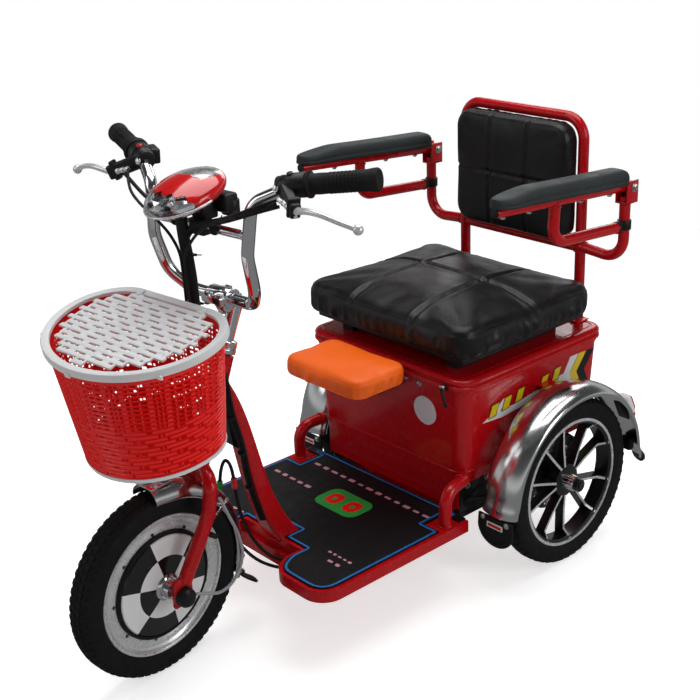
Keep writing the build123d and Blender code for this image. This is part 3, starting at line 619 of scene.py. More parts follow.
def makeStage():
    # a pale floor that keeps the contact shadows and goes plain white further out
    bm = bmesh.new()
    bmesh.ops.create_grid(bm, x_segments=2, y_segments=2, size=studio["floorSize"])
    mesh = meshOf(bm, "floor")
    floor = linked("floor", mesh)
    material = bpy.data.materials.new("paleFloor")
    tree = emptyTree(material)
    path = addNode(tree, "ShaderNodeLightPath").outputs
    lit = Wire(tree, path["Is Camera Ray"]) + Wire(tree, path["Is Transmission Ray"])
    matt = addNode(tree, "ShaderNodeBsdfDiffuse", {}, {"Color": (studio["floorTone"],) * 3})
    near = addNode(tree, "ShaderNodeEmission", {}, {"Strength": lit * studio["floorGlow"]})
    both = addNode(tree, "ShaderNodeAddShader", {}, {0: matt.outputs[0], 1: near.outputs[0]})
    where = addNode(tree, "ShaderNodeTexCoord").outputs["Object"]
    length = addNode(tree, "ShaderNodeVectorMath", {"operation": "LENGTH"}, {0: where}).outputs["Value"]
    span = {"Value": length, 1: studio["clearFrom"], 2: studio["clearTo"]}
    reach = addNode(tree, "ShaderNodeMapRange", {"interpolation_type": "SMOOTHSTEP"}, span).outputs[0]
    far = addNode(tree, "ShaderNodeEmission", {}, {"Strength": lit.above(0.5) * 0.5 + 0.5})
    mix = addNode(tree, "ShaderNodeMixShader", {}, {0: reach, 1: both.outputs[0], 2: far.outputs[0]})
    dim = addNode(tree, "ShaderNodeEmission", {}, {"Strength": studio["floorMirror"]})
    mirrored = {0: path["Is Glossy Ray"], 1: mix.outputs[0], 2: dim.outputs[0]}
    shown = addNode(tree, "ShaderNodeMixShader", {}, mirrored)
    addNode(tree, "ShaderNodeOutputMaterial", {}, {0: shown.outputs[0]})
    mesh.materials.append(material)


skyStops = [(0.0, 0.16), (0.49, 0.26), (0.54, 0.56), (0.6, 0.44), (0.67, 0.09), (0.84, 0.04), (1.0, 0.14)]


def makeSky():
    # white behind the object; mirrors see a pale horizon that darkens overhead, as in a studio tent
    scene.world = bpy.data.worlds.new("studio")
    tree = emptyTree(scene.world)
    where = addNode(tree, "ShaderNodeTexCoord").outputs["Generated"]
    split = addNode(tree, "ShaderNodeSeparateXYZ", {}, {0: where})
    height = Wire(tree, split.outputs[2]) * 0.5 + 0.5
    stops = [(place, (tone,) * 3) for place, tone in skyStops]
    ramp = addNode(tree, "ShaderNodeValToRGB", {"stops": stops}, {0: height})
    path = addNode(tree, "ShaderNodeLightPath").outputs
    direct = (Wire(tree, path["Is Camera Ray"]) + Wire(tree, path["Is Transmission Ray"])).above(0.5)
    strength = direct * studio["skySeen"] + (1 - direct) * studio["skyLight"]
    plain = addNode(tree, "ShaderNodeBackground", {}, {"Color": (1, 1, 1), "Strength": strength})
    mirror = addNode(tree, "ShaderNodeBackground", {}, {"Color": ramp.outputs[0]})
    mirrored = {0: path["Is Glossy Ray"], 1: plain.outputs[0], 2: mirror.outputs[0]}
    mix = addNode(tree, "ShaderNodeMixShader", {}, mirrored)
    addNode(tree, "ShaderNodeOutputWorld", {}, {0: mix.outputs[0]})


def makeLamps():
    for name, facts in lamps.items():
        data = bpy.data.lights.new(name, "AREA")
        data.shape = "RECTANGLE"
        data.size, data.size_y = facts["size"]
        data.energy = facts["power"]
        place = Vector(facts["place"])
        turn = (place - Vector(facts["aim"])).to_track_quat("Z", "Y").to_matrix().to_4x4()
        linked(name, data).matrix_world = Matrix.Translation(place) @ turn


makeCamera()
makeStage()
makeSky()
makeLamps()
print("camera, floor and lamps set")

# ---- tyres ----
frontTyre = {"radius": 0.179, "bead": 0.1345, "half": 0.027, "blocks": 66, "blockLength": 0.0105, "skew": 14}
rearTyre = {"radius": 0.176, "bead": 0.1355, "half": 0.025, "blocks": 54, "blockLength": 0.0125, "skew": 24}
frontHub = steered @ Matrix.Translation((0, joints["rear_wheel_left_spin"]["pos_m"][1] - 0.811, 0.179))
tyreShape = [(0.7, 0.0), (0.82, 0.05), (0.95, 0.22), (0.985, 0.3), (1.0, 0.315), (0.99, 0.34), (1.0, 0.55),
             (0.96, 0.74), (0.86, 0.86), (0.62, 0.935), (0.3, 0.965), (0.0, 0.972)]


def tyre(name, sizes, body, node, place):
    bm = bmesh.new()
    depth = sizes["radius"] - sizes["bead"]
    half = sizes["half"]
    side = [(x * half, sizes["bead"] + t * depth) for x, t in tyreShape]
    profile = side + [(-x, r) for x, r in reversed(side[:-1])]
    addLathe(bm, profile, 120, closed=True)
    top = sizes["radius"]
    length = sizes["blockLength"]
    rows = [(0.5, 0.93, 0.006, sizes["skew"]), (0.07, 0.4, 0.0, -sizes["skew"])]
    for inner, outer, drop, skew in rows:
        for sign in (-1, 1):
            low = (half * inner, -length / 2, top - depth * 0.16)
            high = (half * outer, length / 2, top - drop * 0.12)
            verts = addBlock(bm, low, high, 0.0, place=tilt(skew, "Z"))
            for vert in verts:
                reach = abs(vert.co.x) / half
                if vert.co.z > top - depth * 0.1:
                    vert.co.z -= depth * 0.16 * max(0.0, reach - 0.55) ** 1.5 * 3
                else:
                    vert.co.z -= depth * 0.35 * max(0.0, reach - 0.6)
            if sign < 0:
                bmesh.ops.scale(bm, vec=(-1, 1, 1), verts=verts)
                bmesh.ops.rotate(bm, cent=(0, 0, 0), verts=verts,
                                 matrix=Matrix.Rotation(pi / sizes["blocks"], 3, "X"))
            verts = softened(bm, allEdges(verts), 0.0007, 1)
            addCopies(bm, verts, sizes["blocks"])
    return finished(name, bm, "tyreRubber", body, (node,), place)


tyre("frontTyre", frontTyre, "front_wheel", "front_tyre", frontHub)
rearPlaces = {}
for side, sign in (("left", 1), ("right", -1)):
    hub = Vector(joints["rear_wheel_" + side + "_spin"]["pos_m"])
    rearPlaces[side] = Matrix.Translation(hub) @ Matrix.Scale(sign, 4, (1, 0, 0))
    tyre("rearTyre" + side.capitalize(), rearTyre, "rear_wheel_" + side, "rear_tyre_" + side,
         rearPlaces[side])

# ---- front rim: a dished silver rim round the motor's checked cover ----
frontRim = {"screws": 9, "screwRadius": 0.003, "screwCircle": 0.1085, "sectors": 6, "steps": 96}
dish = [(0.0, 0.129), (0.0175, 0.13), (0.0215, 0.1322), (0.0225, 0.135), (0.0205, 0.1368), (0.0, 0.135)]
bowl = [(0.019, 0.1312), (0.0155, 0.1282), (0.0125, 0.1235), (0.012, 0.118), (0.014, 0.1135), (0.015, 0.104),
        (0.0, 0.104), (0.0, 0.1312)]
gasket = [(0.0148, 0.105), (0.02, 0.1045), (0.0226, 0.102), (0.022, 0.0985), (0.019, 0.097), (0.01, 0.097)]
coverOuter = [(0.019, 0.0985), (0.0226, 0.0955), (0.024, 0.078), (0.0262, 0.06)]
coverInner = [(0.0262, 0.06), (0.028, 0.043), (0.0292, 0.026)]
motorBoss = [(0.028, 0.0265), (0.0315, 0.024), (0.034, 0.0205), (0.045, 0.0172), (0.0475, 0.0158),
             (0.0475, 0.0085)]


def frontWheelRim():
    bm = bmesh.new()
    for sign in (-1, 1):
        made = []
        for profile, look in ((dish, 0), (bowl, 0), (gasket, 1), (motorBoss, 4)):
            made += addLathe(bm, profile, frontRim["steps"], look, closed=look != 4)
        for profile, flip in ((coverOuter, 0), (coverInner, 1)):
            verts = addLathe(bm, profile, frontRim["steps"])
            for face in allFaces(verts):
                spot = face.calc_center_median()
                turn = (atan2(spot.z, spot.y) / (2 * pi)) % 1
                black = (int(turn * frontRim["sectors"] + 0.25) + flip) % 2
                face.material_index = 3 if black else 2
            made += verts
        for index in range(frontRim["screws"]):
            turn = 2 * pi * index / frontRim["screws"] + 0.3
            centre = Vector((0.0142, frontRim["screwCircle"] * cos(turn),
                             frontRim["screwCircle"] * sin(turn)))
            made += addRod(bm, centre, centre + Vector((0.0022, 0, 0)), frontRim["screwRadius"], sides=12,
                           look=1)
            tip = centre + Vector((0.002, 0, 0))
            made += addRod(bm, tip, tip + Vector((0.001, 0, 0)), 0.0015, sides=6, look=4)
        if sign < 0:
            bmesh.ops.scale(bm, vec=(-1, 1, 1), verts=live(made))
    valve = Vector((0.004, 0.118, 0.03))
    addRod(bm, valve, valve + Vector((0.01, -0.016, -0.004)), 0.0034, 0.0026, sides=12, look=1)
    looks = ["silverRim", "rubber", "glossBlack", "glossWhite", "chrome"]
    finished("frontRim", bm, looks, "front_wheel", ("front_rim",), frontHub, angle=32)


frontWheelRim()

# ---- rear rims: five pairs of narrow arms that climb to the rim's edge ----
rearRim = {"pairs": 5, "firstAngle": -2, "rootSpread": 8.5, "tipSpread": 16.5, "rootRadius": 0.03,
           "kinkRadius": 0.113, "tipRadius": 0.1295, "faceDepth": 0.002, "backDepth": -0.017,
           "lipDepth": 0.0195, "armHalf": 0.0062, "faceHalf": 0.0026}
barrelShape = [(0.019, 0.13), (0.016, 0.1248), (-0.016, 0.1248), (-0.019, 0.13), (-0.0208, 0.1345),
               (-0.0195, 0.1372), (0.0195, 0.1372), (0.0206, 0.1345)]
lipShape = [(0.0188, 0.1302), (0.0212, 0.1306), (0.0216, 0.1332), (0.0206, 0.1364), (0.019, 0.1364)]
hubShape = [(0.0085, 0.0), (0.0085, 0.0285), (0.006, 0.0345), (-0.014, 0.0345), (-0.017, 0.03),
            (-0.029, 0.028), (-0.029, 0.0)]
capShape = [(0.008, 0.018), (0.011, 0.0168), (0.03, 0.016), (0.0318, 0.0146), (0.0318, 0.0125),
            (0.029, 0.0115), (0.029, 0.0)]


def wheelPoint(radius, angle, depth):
    # angle 0 points forward and 90 points up
    return Vector((depth, -radius * cos(radians(angle)), radius * sin(radians(angle))))


def rimArm(bm, rootAngle, tipAngle):
    facts = rearRim
    root = wheelPoint(facts["rootRadius"], rootAngle, 0)
    tip = wheelPoint(facts["tipRadius"], tipAngle, 0)
    run = tip - root
    length = run.length
    kink = length - (facts["tipRadius"] - facts["kinkRadius"])
    outline = [(0, facts["backDepth"] + 0.004), (0, facts["faceDepth"] + 0.005),
               (kink * 0.5, facts["faceDepth"] + 0.001), (kink, facts["faceDepth"]),
               (length, facts["lipDepth"]), (length, facts["backDepth"])]
    verts = [bm.verts.new((-facts["armHalf"], s, w)) for s, w in outline]
    both = verts + extruded(bm, verts, (facts["armHalf"] * 2, 0, 0))
    front = {vert for vert in both if vert.co.z > 0}
    for vert in front:
        vert.co.x *= facts["faceHalf"] / facts["armHalf"]
    for made in allFaces(both):
        if all(vert in front for vert in made.verts):
            made.material_index = 1
    ahead, outward = run.normalized(), Vector((1, 0, 0))
    turn = Matrix((ahead.cross(outward), ahead, outward)).transposed().to_4x4()
    placed(bm, both, Matrix.Translation(root) @ turn)


def rearWheelRim(side):
    bm = bmesh.new()
    addLathe(bm, barrelShape, 96, 0, closed=True)
    addLathe(bm, lipShape, 96, 1, closed=True)
    addLathe(bm, hubShape, 64, 0)
    addLathe(bm, capShape, 64, 2)
    for pair in range(rearRim["pairs"]):
        middle = rearRim["firstAngle"] + 360 / rearRim["pairs"] * pair
        for turn in (-1, 1):
            rimArm(bm, middle + turn * rearRim["rootSpread"], middle + turn * rearRim["tipSpread"])
    name = "rearRim" + side.capitalize()
    looks = ["blackAlloy", "machined", "chrome"]
    finished(name, bm, looks, "rear_wheel_" + side, ("rear_rim_" + side,), rearPlaces[side], angle=30)


brakeDisc = {"offset": -0.034, "outer": 0.074, "inner": 0.046, "rings": 5, "steps": 60, "thickness": 0.003,
             "carrierOuter": 0.05, "carrierInner": 0.0165}


def brakeDiscPiece(side):
    bm = bmesh.new()
    facts = brakeDisc
    span = facts["outer"] - facts["inner"]
    profile = [(0, facts["inner"] + span * k / facts["rings"]) for k in range(facts["rings"] + 1)]
    verts = addLathe(bm, profile, facts["steps"])
    bm.faces.ensure_lookup_table()
    drilled = []
    for face in allFaces(verts):
        spot = face.calc_center_median()
        ring = int((hypot(spot.y, spot.z) - facts["inner"]) / span * facts["rings"])
        step = int(((atan2(spot.z, spot.y) / (2 * pi)) % 1) * facts["steps"])
        if 0 < ring < facts["rings"] - 1 and (step + 2 * ring) % 3 == 0:
            drilled.append(face)
    bmesh.ops.inset_individual(bm, faces=drilled, thickness=0.0009)
    bmesh.ops.delete(bm, geom=drilled, context="FACES")
    bmesh.ops.solidify(bm, geom=list(bm.faces), thickness=facts["thickness"])
    carrier = [(0.003, facts["carrierInner"]), (0.003, 0.036), (0.0015, facts["carrierOuter"]),
               (-0.0015, facts["carrierOuter"]), (-0.003, 0.036), (-0.003, facts["carrierInner"])]
    addLathe(bm, carrier, 60, 1, closed=True)
    for index in range(6):
        spot = wheelPoint(0.03, 60 * index, 0.003)
        addBolt(bm, spot, (1, 0, 0), 0.0032, 0.003, 1, washer=False)
    place = rearPlaces[side] @ Matrix.Translation((facts["offset"], 0, 0))
    finished("brakeDisc" + side.capitalize(), bm, ["discSteel", "blackAlloy"], "rear_wheel_" + side,
             ("brake_disc_" + side,), place)


caliper = {"angle": 128, "radius": 0.066, "reach": 0.02, "gap": 0.0035, "cheek": 0.009}


def caliperPiece(side):
    bm = bmesh.new()
    facts = caliper
    turn = tilt(90 - facts["angle"])
    for sign in (-1, 1):
        inner = sign * facts["gap"]
        outer = sign * (facts["gap"] + facts["cheek"])
        low = (min(inner, outer), -0.022, facts["radius"] - facts["reach"])
        high = (max(inner, outer), 0.022, facts["radius"] + facts["reach"])
        addBlock(bm, low, high, 0.003, place=turn)
    bridge = (facts["gap"] + facts["cheek"], 0.017, facts["radius"] + facts["reach"] + 0.004)
    addBlock(bm, (-bridge[0], -bridge[1], 0.0775), bridge, 0.002, place=turn)
    for y in (0.01, -0.01):
        addBolt(bm, turn @ Vector((0.0125, y, 0.062)), (1, 0, 0), 0.0045, 0.004, 1)
    addRod(bm, turn @ Vector((-0.016, 0, 0.06)), (-0.022, 0, 0.016), 0.006, sides=12)
    place = rearPlaces[side] @ Matrix.Translation((brakeDisc["offset"], 0, 0))
    finished("brakeCaliper" + side.capitalize(), bm, ["blackPaint", "zincBolt"], "chassis", place=place)


for side in rearPlaces:
    rearWheelRim(side)
    brakeDiscPiece(side)
    caliperPiece(side)
print("wheels made")

# ---- mudguards ----
rearGuard = {"radius": 0.21, "half": 0.044, "crown": 0.017, "start": 0, "sweep": 182, "flare": 0.006,
             "offset": 0.002, "sheet": 0.0014, "lip": 0.004}
frontGuard = {"radius": 0.199, "half": 0.033, "crown": 0.028, "start": 86, "sweep": 115, "flare": 0.003,
              "offset": 0.0, "sheet": 0.0014, "lip": 0.003}


def guardMesh(bm, facts):
    half, radius, crown = facts["half"], facts["radius"], facts["crown"]
    count = 9
    outline = [(-half + 0.0015, radius - crown - facts["lip"])]
    for k in range(-count, count + 1):
        u = k / count * pi / 2
        outline.append((half * sin(u), radius - crown * (1 - cos(u) ** 1.15)))
    outline.append((half - 0.0015, radius - crown - facts["lip"]))
    verts = [bm.verts.new((x, 0, r)) for x, r in outline]
    edges = [bm.edges.new(pair) for pair in zip(verts, verts[1:])]
    bmesh.ops.transform(bm, matrix=tilt(90 - facts["start"]), verts=verts)
    steps = int(facts["sweep"] / 2.5)
    bmesh.ops.spin(bm, geom=verts + edges, cent=(0, 0, 0), axis=(-1, 0, 0), angle=radians(facts["sweep"]),
                   steps=steps, use_merge=False)
    for vert in bm.verts:
        angle = degrees(atan2(vert.co.z, -vert.co.y)) % 360
        angle = angle - 360 if angle > 270 else angle
        edge = min(angle - facts["start"], facts["start"] + facts["sweep"] - angle)
        rise = facts["flare"] * (1 - smoothStep(0, 9, edge))
        distance = hypot(vert.co.y, vert.co.z)
        vert.co.y *= (distance + rise) / distance
        vert.co.z *= (distance + rise) / distance
    bmesh.ops.recalc_face_normals(bm, faces=bm.faces)
    bmesh.ops.solidify(bm, geom=list(bm.faces), thickness=facts["sheet"])
    bmesh.ops.translate(bm, vec=(facts["offset"], 0, 0), verts=bm.verts)


def rearGuards():
    bm = bmesh.new()
    guardMesh(bm, rearGuard)
    for angle in (84, 96):
        spot = wheelPoint(rearGuard["radius"] - 0.016, angle, -0.0405)
        addBolt(bm, spot, (-1, 0, 0), 0.005, 0.004, 1)
    placed(bm, bm.verts, rearPlaces["left"])
    mirrorX(bm)
    finished("rearGuards", bm, ["fenderChrome", "zincBolt"], "chassis", ("rear_fenders",), angle=45)


def frontGuardPiece():
    bm = bmesh.new()
    guardMesh(bm, frontGuard)
    for side in (-0.015, 0.015):
        spot = wheelPoint(frontGuard["radius"] - 0.001, 190, side)
        addBolt(bm, spot, wheelPoint(1, 190, 0), 0.004, 0.004, 1)
    finished("frontGuard", bm, ["fenderChrome", "zincBolt"], "steering", ("front_fender",), frontHub,
             angle=45)


rearGuards()
frontGuardPiece()
print("mudguards made")

# ---- basket: ribbed and pierced tub, white band, slatted lid ----
headPlace = levelled @ Matrix.Translation(steerPoint)
basketFrame = headPlace @ Matrix.Translation((0, -0.0938, 0.13)) @ tilt(11.6)
tub = {"half": 0.18, "length": 0.242, "depth": 0.209, "corner": 0.095, "overlap": 0.009, "shrink": 0.048,
       "rearShift": 0.042, "frontShift": 0.004, "bottomCorner": 0.07, "plainTop": 0.02, "plainFoot": 0.006,
       "ribs": 22, "ribOut": 0.0023, "wall": 0.0022, "units": 12}
tubUnit = [("wall", 8.0), ("hole", 6.0), ("wall", 1.6), ("hole", 6.0), ("wall", 1.6), ("hole", 6.0),
           ("wall", 8.0), ("hole", 12.0), ("wall", 2.4), ("hole", 12.0), ("wall", 2.4), ("hole", 8.0)]


def tubOutline(t, half, rear, front, corner):
    # t runs once round from the left shoulder, past the nose, back along the straight rear edge
    shoulder = rear - corner
    if t < 0.525:
        turn = pi * t / 0.525
        return Vector((half * cos(turn), shoulder - (shoulder - front) * sin(turn)))
    if t < 0.671:
        turn = pi / 2 * (t - 0.525) / 0.146
        return Vector((-half + corner - corner * cos(turn), shoulder + corner * sin(turn)))
    if t < 0.854:
        return Vector((-half + corner + (half - corner) * 2 * (t - 0.671) / 0.183, rear))
    turn = pi / 2 * (t - 0.854) / 0.146
    return Vector((half - corner + corner * sin(turn), shoulder + corner * cos(turn)))


def topOutline(t, inset):
    return tubOutline(t, tub["half"] - inset, -inset, inset - tub["length"], tub["corner"] - inset)


def tubPoint(t, depth, out=0.0):
    # a point of the tub's wall, this far below the band
    low = tubOutline(t, tub["half"] - tub["shrink"] + out, -tub["rearShift"] + out,
                     tub["frontShift"] - tub["length"] - out, tub["bottomCorner"] + out)
    spot = topOutline(t, tub["overlap"] - out).lerp(low, depth / tub["depth"])
    return Vector((spot.x, spot.y, -depth))


def ringLoft(bm, section, pointAt, steps, look=0):
    # sweeps a closed section round the outline; pointAt gives each corner at t
    loops = [[bm.verts.new(pointAt(k / steps, corner)) for corner in section] for k in range(steps)]
    for k, loop in enumerate(loops):
        for face in strip(bm, loop, loops[(k + 1) % steps], across=True):
            face.material_index = look


def basketTub():
    bm = bmesh.new()
    total = sum(width for kind, width in tubUnit) * tub["units"]
    marks, kinds, run = [], [], 0.0
    for kind, width in tubUnit * tub["units"]:
        marks.append(run / total)
        kinds.append(kind)
        run += width
    pitch = (tub["depth"] - tub["plainTop"] - tub["plainFoot"]) / tub["ribs"]
    rows = [(0.0, 0.0, 0), (tub["plainTop"] - 0.006, 0.0, 0)]
    for rib in range(tub["ribs"]):
        start = tub["plainTop"] + rib * pitch
        rows += [(start, 0.0, 1 + rib), (start + pitch * 0.71, 0.0, 0),
                 (start + pitch * 0.86, tub["ribOut"], 0)]
    rows += [(tub["depth"] - tub["plainFoot"], 0.0, 0), (tub["depth"], 0.0, 0)]
    grid = [[bm.verts.new(tubPoint(mark, depth, out)) for mark in marks] for depth, out, _ in rows]
    holes = []
    for (_, _, rib), above, below in zip(rows, grid, grid[1:]):
        for c, face in enumerate(strip(bm, above, below)):
            if rib and kinds[c] == "hole" and (rib < 12 or (c // 3 + rib) % 3 == 0):
                holes.append(face)
    bmesh.ops.recalc_face_normals(bm, faces=bm.faces)
    bmesh.ops.inset_individual(bm, faces=holes, thickness=0.0004)
    inner = {vert for face in holes for vert in face.verts}
    bmesh.ops.bevel(bm, geom=list(inner), offset=0.0009, offset_type="OFFSET", affect="VERTICES", segments=1,
                    profile=0.5, material=-1)
    gone = [face for face in bm.faces if len(face.verts) == 8]
    bmesh.ops.delete(bm, geom=gone, context="FACES")
    bm.faces.new([bm.verts.new(tubPoint(mark, tub["depth"] - 0.001, -0.0008)) for mark in marks])
    bmesh.ops.recalc_face_normals(bm, faces=bm.faces)
    bmesh.ops.solidify(bm, geom=list(bm.faces), thickness=tub["wall"])
    foot = [(0.0, 0.0), (0.0026, 0.0), (0.003, -0.0035), (0.0016, -0.0075), (-0.002, -0.0085),
            (-0.004, -0.006)]
    ringLoft(bm, foot, lambda t, corner: tubPoint(t, tub["depth"] - 0.006,
                                                  corner[0]) + Vector((0, 0, corner[1])), 120, 1)
    finished("basketTub", bm, ["basketPlastic", "whitePlastic"], "steering", ("basket_shell",), basketFrame,
             angle=50)


rimSection = [(0.0, -0.0075), (0.0002, 0.003), (0.0018, 0.005), (0.0125, 0.005), (0.0148, 0.0036),
              (0.015, -0.002), (0.0105, -0.002), (0.0098, 0.002), (0.003, 0.0022), (0.0022, -0.0075)]


def basketBand():
    bm = bmesh.new()

    def at(t, corner):
        spot = topOutline(t, corner[0])
        return Vector((spot.x, spot.y, corner[1]))

    ringLoft(bm, rimSection, at, 144)
    for sign in (-1, 1):
        x = sign * 0.078
        addBlock(bm, (x - 0.004, -0.0235, 0.0), (x + 0.004, -0.008, 0.0085), 0.0012)
        addRod(bm, (x - 0.0055, -0.02, 0.0035), (x + 0.0055, -0.02, 0.0035), 0.0034, sides=18, soften=0.0005)
    for t in (0.1, 0.262, 0.425, 0.762):
        spot = topOutline(t, 0.0)
        out = (spot - topOutline(t, 0.01)).normalized() * 0.0012
        addBlock(bm, (spot.x + out.x - 0.006, spot.y + out.y - 0.002, -0.0105),
                 (spot.x + out.x + 0.006, spot.y + out.y + 0.002, -0.003), 0.001)
    finished("basketBand", bm, "whitePlastic", "steering", ("basket_rim",), basketFrame, angle=50)


slats = {"count": 15, "first": -0.0262, "pitch": 0.01375, "half": 0.005, "low": 0.0012, "high": 0.006,
         "inset": 0.024, "bridge": 0.017, "window": 0.026}


def slatReach(y):
    # half the opening's width at this y
    best = 0.0
    for k in range(400):
        spot = topOutline(k / 400, slats["inset"])
        if abs(spot.y - y) < 0.0035:
            best = max(best, abs(spot.x))
    return best


def basketLidPiece():
    bm = bmesh.new()
    reaches = []
    half, step = slats["half"], slats["bridge"] + slats["window"]
    for index in range(slats["count"]):
        y = slats["first"] - index * slats["pitch"]
        reach = slatReach(y) - (0.008 if index % 2 else 0.018)
        reaches.append(reach)
        addBlock(bm, (-reach, y - half, slats["low"]), (reach, y + half, slats["high"]), 0.0019)
    for index in range(slats["count"] - 1):
        y = slats["first"] - (index + 0.5) * slats["pitch"]
        reach = min(reaches[index], reaches[index + 1])
        shift = step * (0.5 if index % 2 else 0.0)
        x = -reach + slats["bridge"] * 0.5
        addBlock(bm, (-reach + 0.001, y - 0.004, 0.0016), (-reach + 0.006, y + 0.004, 0.0056), 0.001)
        addBlock(bm, (reach - 0.006, y - 0.004, 0.0016), (reach - 0.001, y + 0.004, 0.0056), 0.001)
        x += shift + slats["window"] * 0.5
        while x + slats["bridge"] < reach - 0.004:
            addBlock(bm, (x, y - 0.004, 0.0018), (x + slats["bridge"], y + 0.004, 0.0054), 0.0008, segments=1)
            x += step
    for sign in (-1, 1):
        for side in (-1, 1):
            x = sign * 0.078 + side * 0.0085
            addBlock(bm, (x - 0.0022, -0.025, 0.0016), (x + 0.0022, -0.0185, 0.0056), 0.0008)
        addRod(bm, (sign * 0.078 - 0.0095, -0.02, 0.0035), (sign * 0.078 + 0.0095, -0.02, 0.0035), 0.0022,
               sides=14)
    finished("basketLid", bm, "whitePlastic", "basket_top", ("basket_lid",), basketFrame)


basketTub()
basketBand()
basketLidPiece()
print("basket made")


# ---- stem, clamp, grips and levers ----
def atHead(x, y, z):
    return Vector((x, y, z)) / 1000


def stemPiece():
    # the headset nut and the quill turn with the fork; the clamp on top stands level with the bars
    bm = bmesh.new()
    base = steered @ (Matrix.Translation(steerPoint) @ Matrix.Rotation(-headRake, 4, "X"))
    upright = Matrix.Rotation(-pi / 2, 4, "Y")
    nut = [(0.004, 0.0), (0.004, 0.0195), (0.0055, 0.0212), (0.012, 0.0212), (0.0135, 0.0195),
           (0.0145, 0.0195), (0.016, 0.0208), (0.0255, 0.0208), (0.027, 0.019), (0.0285, 0.015),
           (0.029, 0.0135)]
    quill = [(0.029, 0.0125), (0.05, 0.0128), (0.086, 0.0138), (0.098, 0.0142), (0.106, 0.012), (0.106, 0.0)]
    made = addLathe(bm, nut, 12, 0) + addLathe(bm, quill, 40, 0)
    placed(bm, made, base @ upright)
    clamp = addRod(bm, (-0.026, 0.004, 0.11), (0.026, 0.004, 0.11), 0.0178, sides=36, soften=0.0016)
    clamp += addRod(bm, (-0.029, 0.004, 0.11), (0.029, 0.004, 0.11), 0.0125, sides=30)
    clamp += addBlock(bm, (-0.025, 0.015, 0.1045), (0.025, 0.0285, 0.1155), 0.002)
    clamp += addBlock(bm, (-0.025, -0.0235, 0.1035), (0.025, -0.008, 0.1165), 0.0022)
    clamp += addRod(bm, (0, 0.012, 0.084), (0, 0.004, 0.104), 0.015, 0.0165, sides=32, soften=0.001)
    placed(bm, clamp, headPlace)
    bolts = bmesh.new()
    for x in (-0.015, 0.015):
        addBolt(bolts, (x, -0.017, 0.1165), (0, 0, 1), 0.0052, 0.006, 1)
        addBolt(bolts, (x, 0.022, 0.1155), (0, 0, 1), 0.0048, 0.005, 1)
        addBolt(bolts, (x, -0.017, 0.1035), (0, 0, -1), 0.0046, 0.005, 1)
    addBolt(bolts, (0, 0.0195, 0.12), (0, 0.4, 1), 0.0065, 0.006, 1)
    placed(bolts, bolts.verts, headPlace)
    extra = meshOf(bolts, "bolts")
    bm.from_mesh(extra)
    bpy.data.meshes.remove(extra)
    finished("stem", bm, ["chrome", "zincBolt"], "steering", ("stem",), angle=30)


barEnd, barKnee = atHead(315, 59, 350), atHead(189, 8, 334)
gripLine = (barEnd - barKnee).normalized()
gripFacts = {"length": 0.112, "flutes": {1: 20, -1: 12}, "rings": 11}
gripProfile = [(-0.003, 0.0115), (-0.003, 0.0205), (0.0, 0.0222), (0.0035, 0.0222), (0.0055, 0.018),
               (0.01, 0.0168), (0.018, 0.0172), (0.034, 0.0164), (0.06, 0.016), (0.086, 0.0163),
               (0.1, 0.0172), (0.11, 0.0188), (0.116, 0.019), (0.119, 0.0172), (0.1195, 0.012), (0.118, 0.0)]
twistProfile = [(-0.003, 0.0115), (-0.003, 0.0215), (0.0, 0.0235), (0.006, 0.0238), (0.009, 0.0215),
                (0.011, 0.0188), (0.022, 0.0178), (0.024, 0.0192), (0.028, 0.0192), (0.03, 0.0174),
                (0.06, 0.0164), (0.09, 0.0166), (0.108, 0.0184), (0.116, 0.019), (0.119, 0.0172),
                (0.1195, 0.012), (0.118, 0.0)]
housingProfile = [(-0.047, 0.0115), (-0.047, 0.0165), (-0.045, 0.018), (-0.03, 0.0184), (-0.029, 0.0202),
                  (-0.006, 0.0205), (-0.0035, 0.019), (-0.003, 0.0115)]


def gripsPiece():
    bm = bmesh.new()
    root = barEnd - gripLine * gripFacts["length"]
    turn = along(root, barEnd) @ Matrix.Rotation(-pi / 2, 4, "Y")
    for sign, profile in ((1, gripProfile), (-1, twistProfile)):
        verts = addLathe(bm, profile, 48)
        for vert in verts:
            if 0.032 < vert.co.x < 0.106:
                angle = atan2(vert.co.z, vert.co.y)
                push = 0.0006 * cos(gripFacts["flutes"][sign] * angle)
                radius = hypot(vert.co.y, vert.co.z)
                vert.co.y *= 1 + push / radius
                vert.co.z *= 1 + push / radius
        for ring in range(gripFacts["rings"]):
            x = 0.036 + ring * 0.0064
            verts += addLathe(bm, [(x, 0.016), (x + 0.0008, 0.0174), (x + 0.0032, 0.0174),
                                   (x + 0.004, 0.016)], 48)
        verts += addLathe(bm, housingProfile, 40, 1)
        low, high = (-0.04, -0.012, -0.034), (-0.01, 0.013, -0.012)
        if sign < 0:
            low, high = (-0.042, -0.014, -0.03), (-0.008, 0.014, -0.012)
        verts += addBlock(bm, low, high, 0.004, 1, segments=3)
        verts += addRod(bm, (-0.028, 0.012, 0.002), (-0.028, 0.0225, 0.005), 0.0052, sides=20, soften=0.001,
                        look=2 if sign < 0 else 1)
        verts = live(verts)
        placed(bm, verts, turn)
        if sign < 0:
            bmesh.ops.scale(bm, vec=(-1, 1, 1), verts=verts)
    finished("grips", bm, ["rubber", "blackPlastic", "lampRed"], "steering", ("grips",), headPlace, angle=40)


leverPoints = [(226, -32, 307), (246, -39, 312), (270, -42, 315), (296, -39, 311), (322, -31, 302),
               (346, -20, 294)]
leverRadii = [0.0062, 0.0056, 0.005, 0.0046, 0.0043, 0.0044]


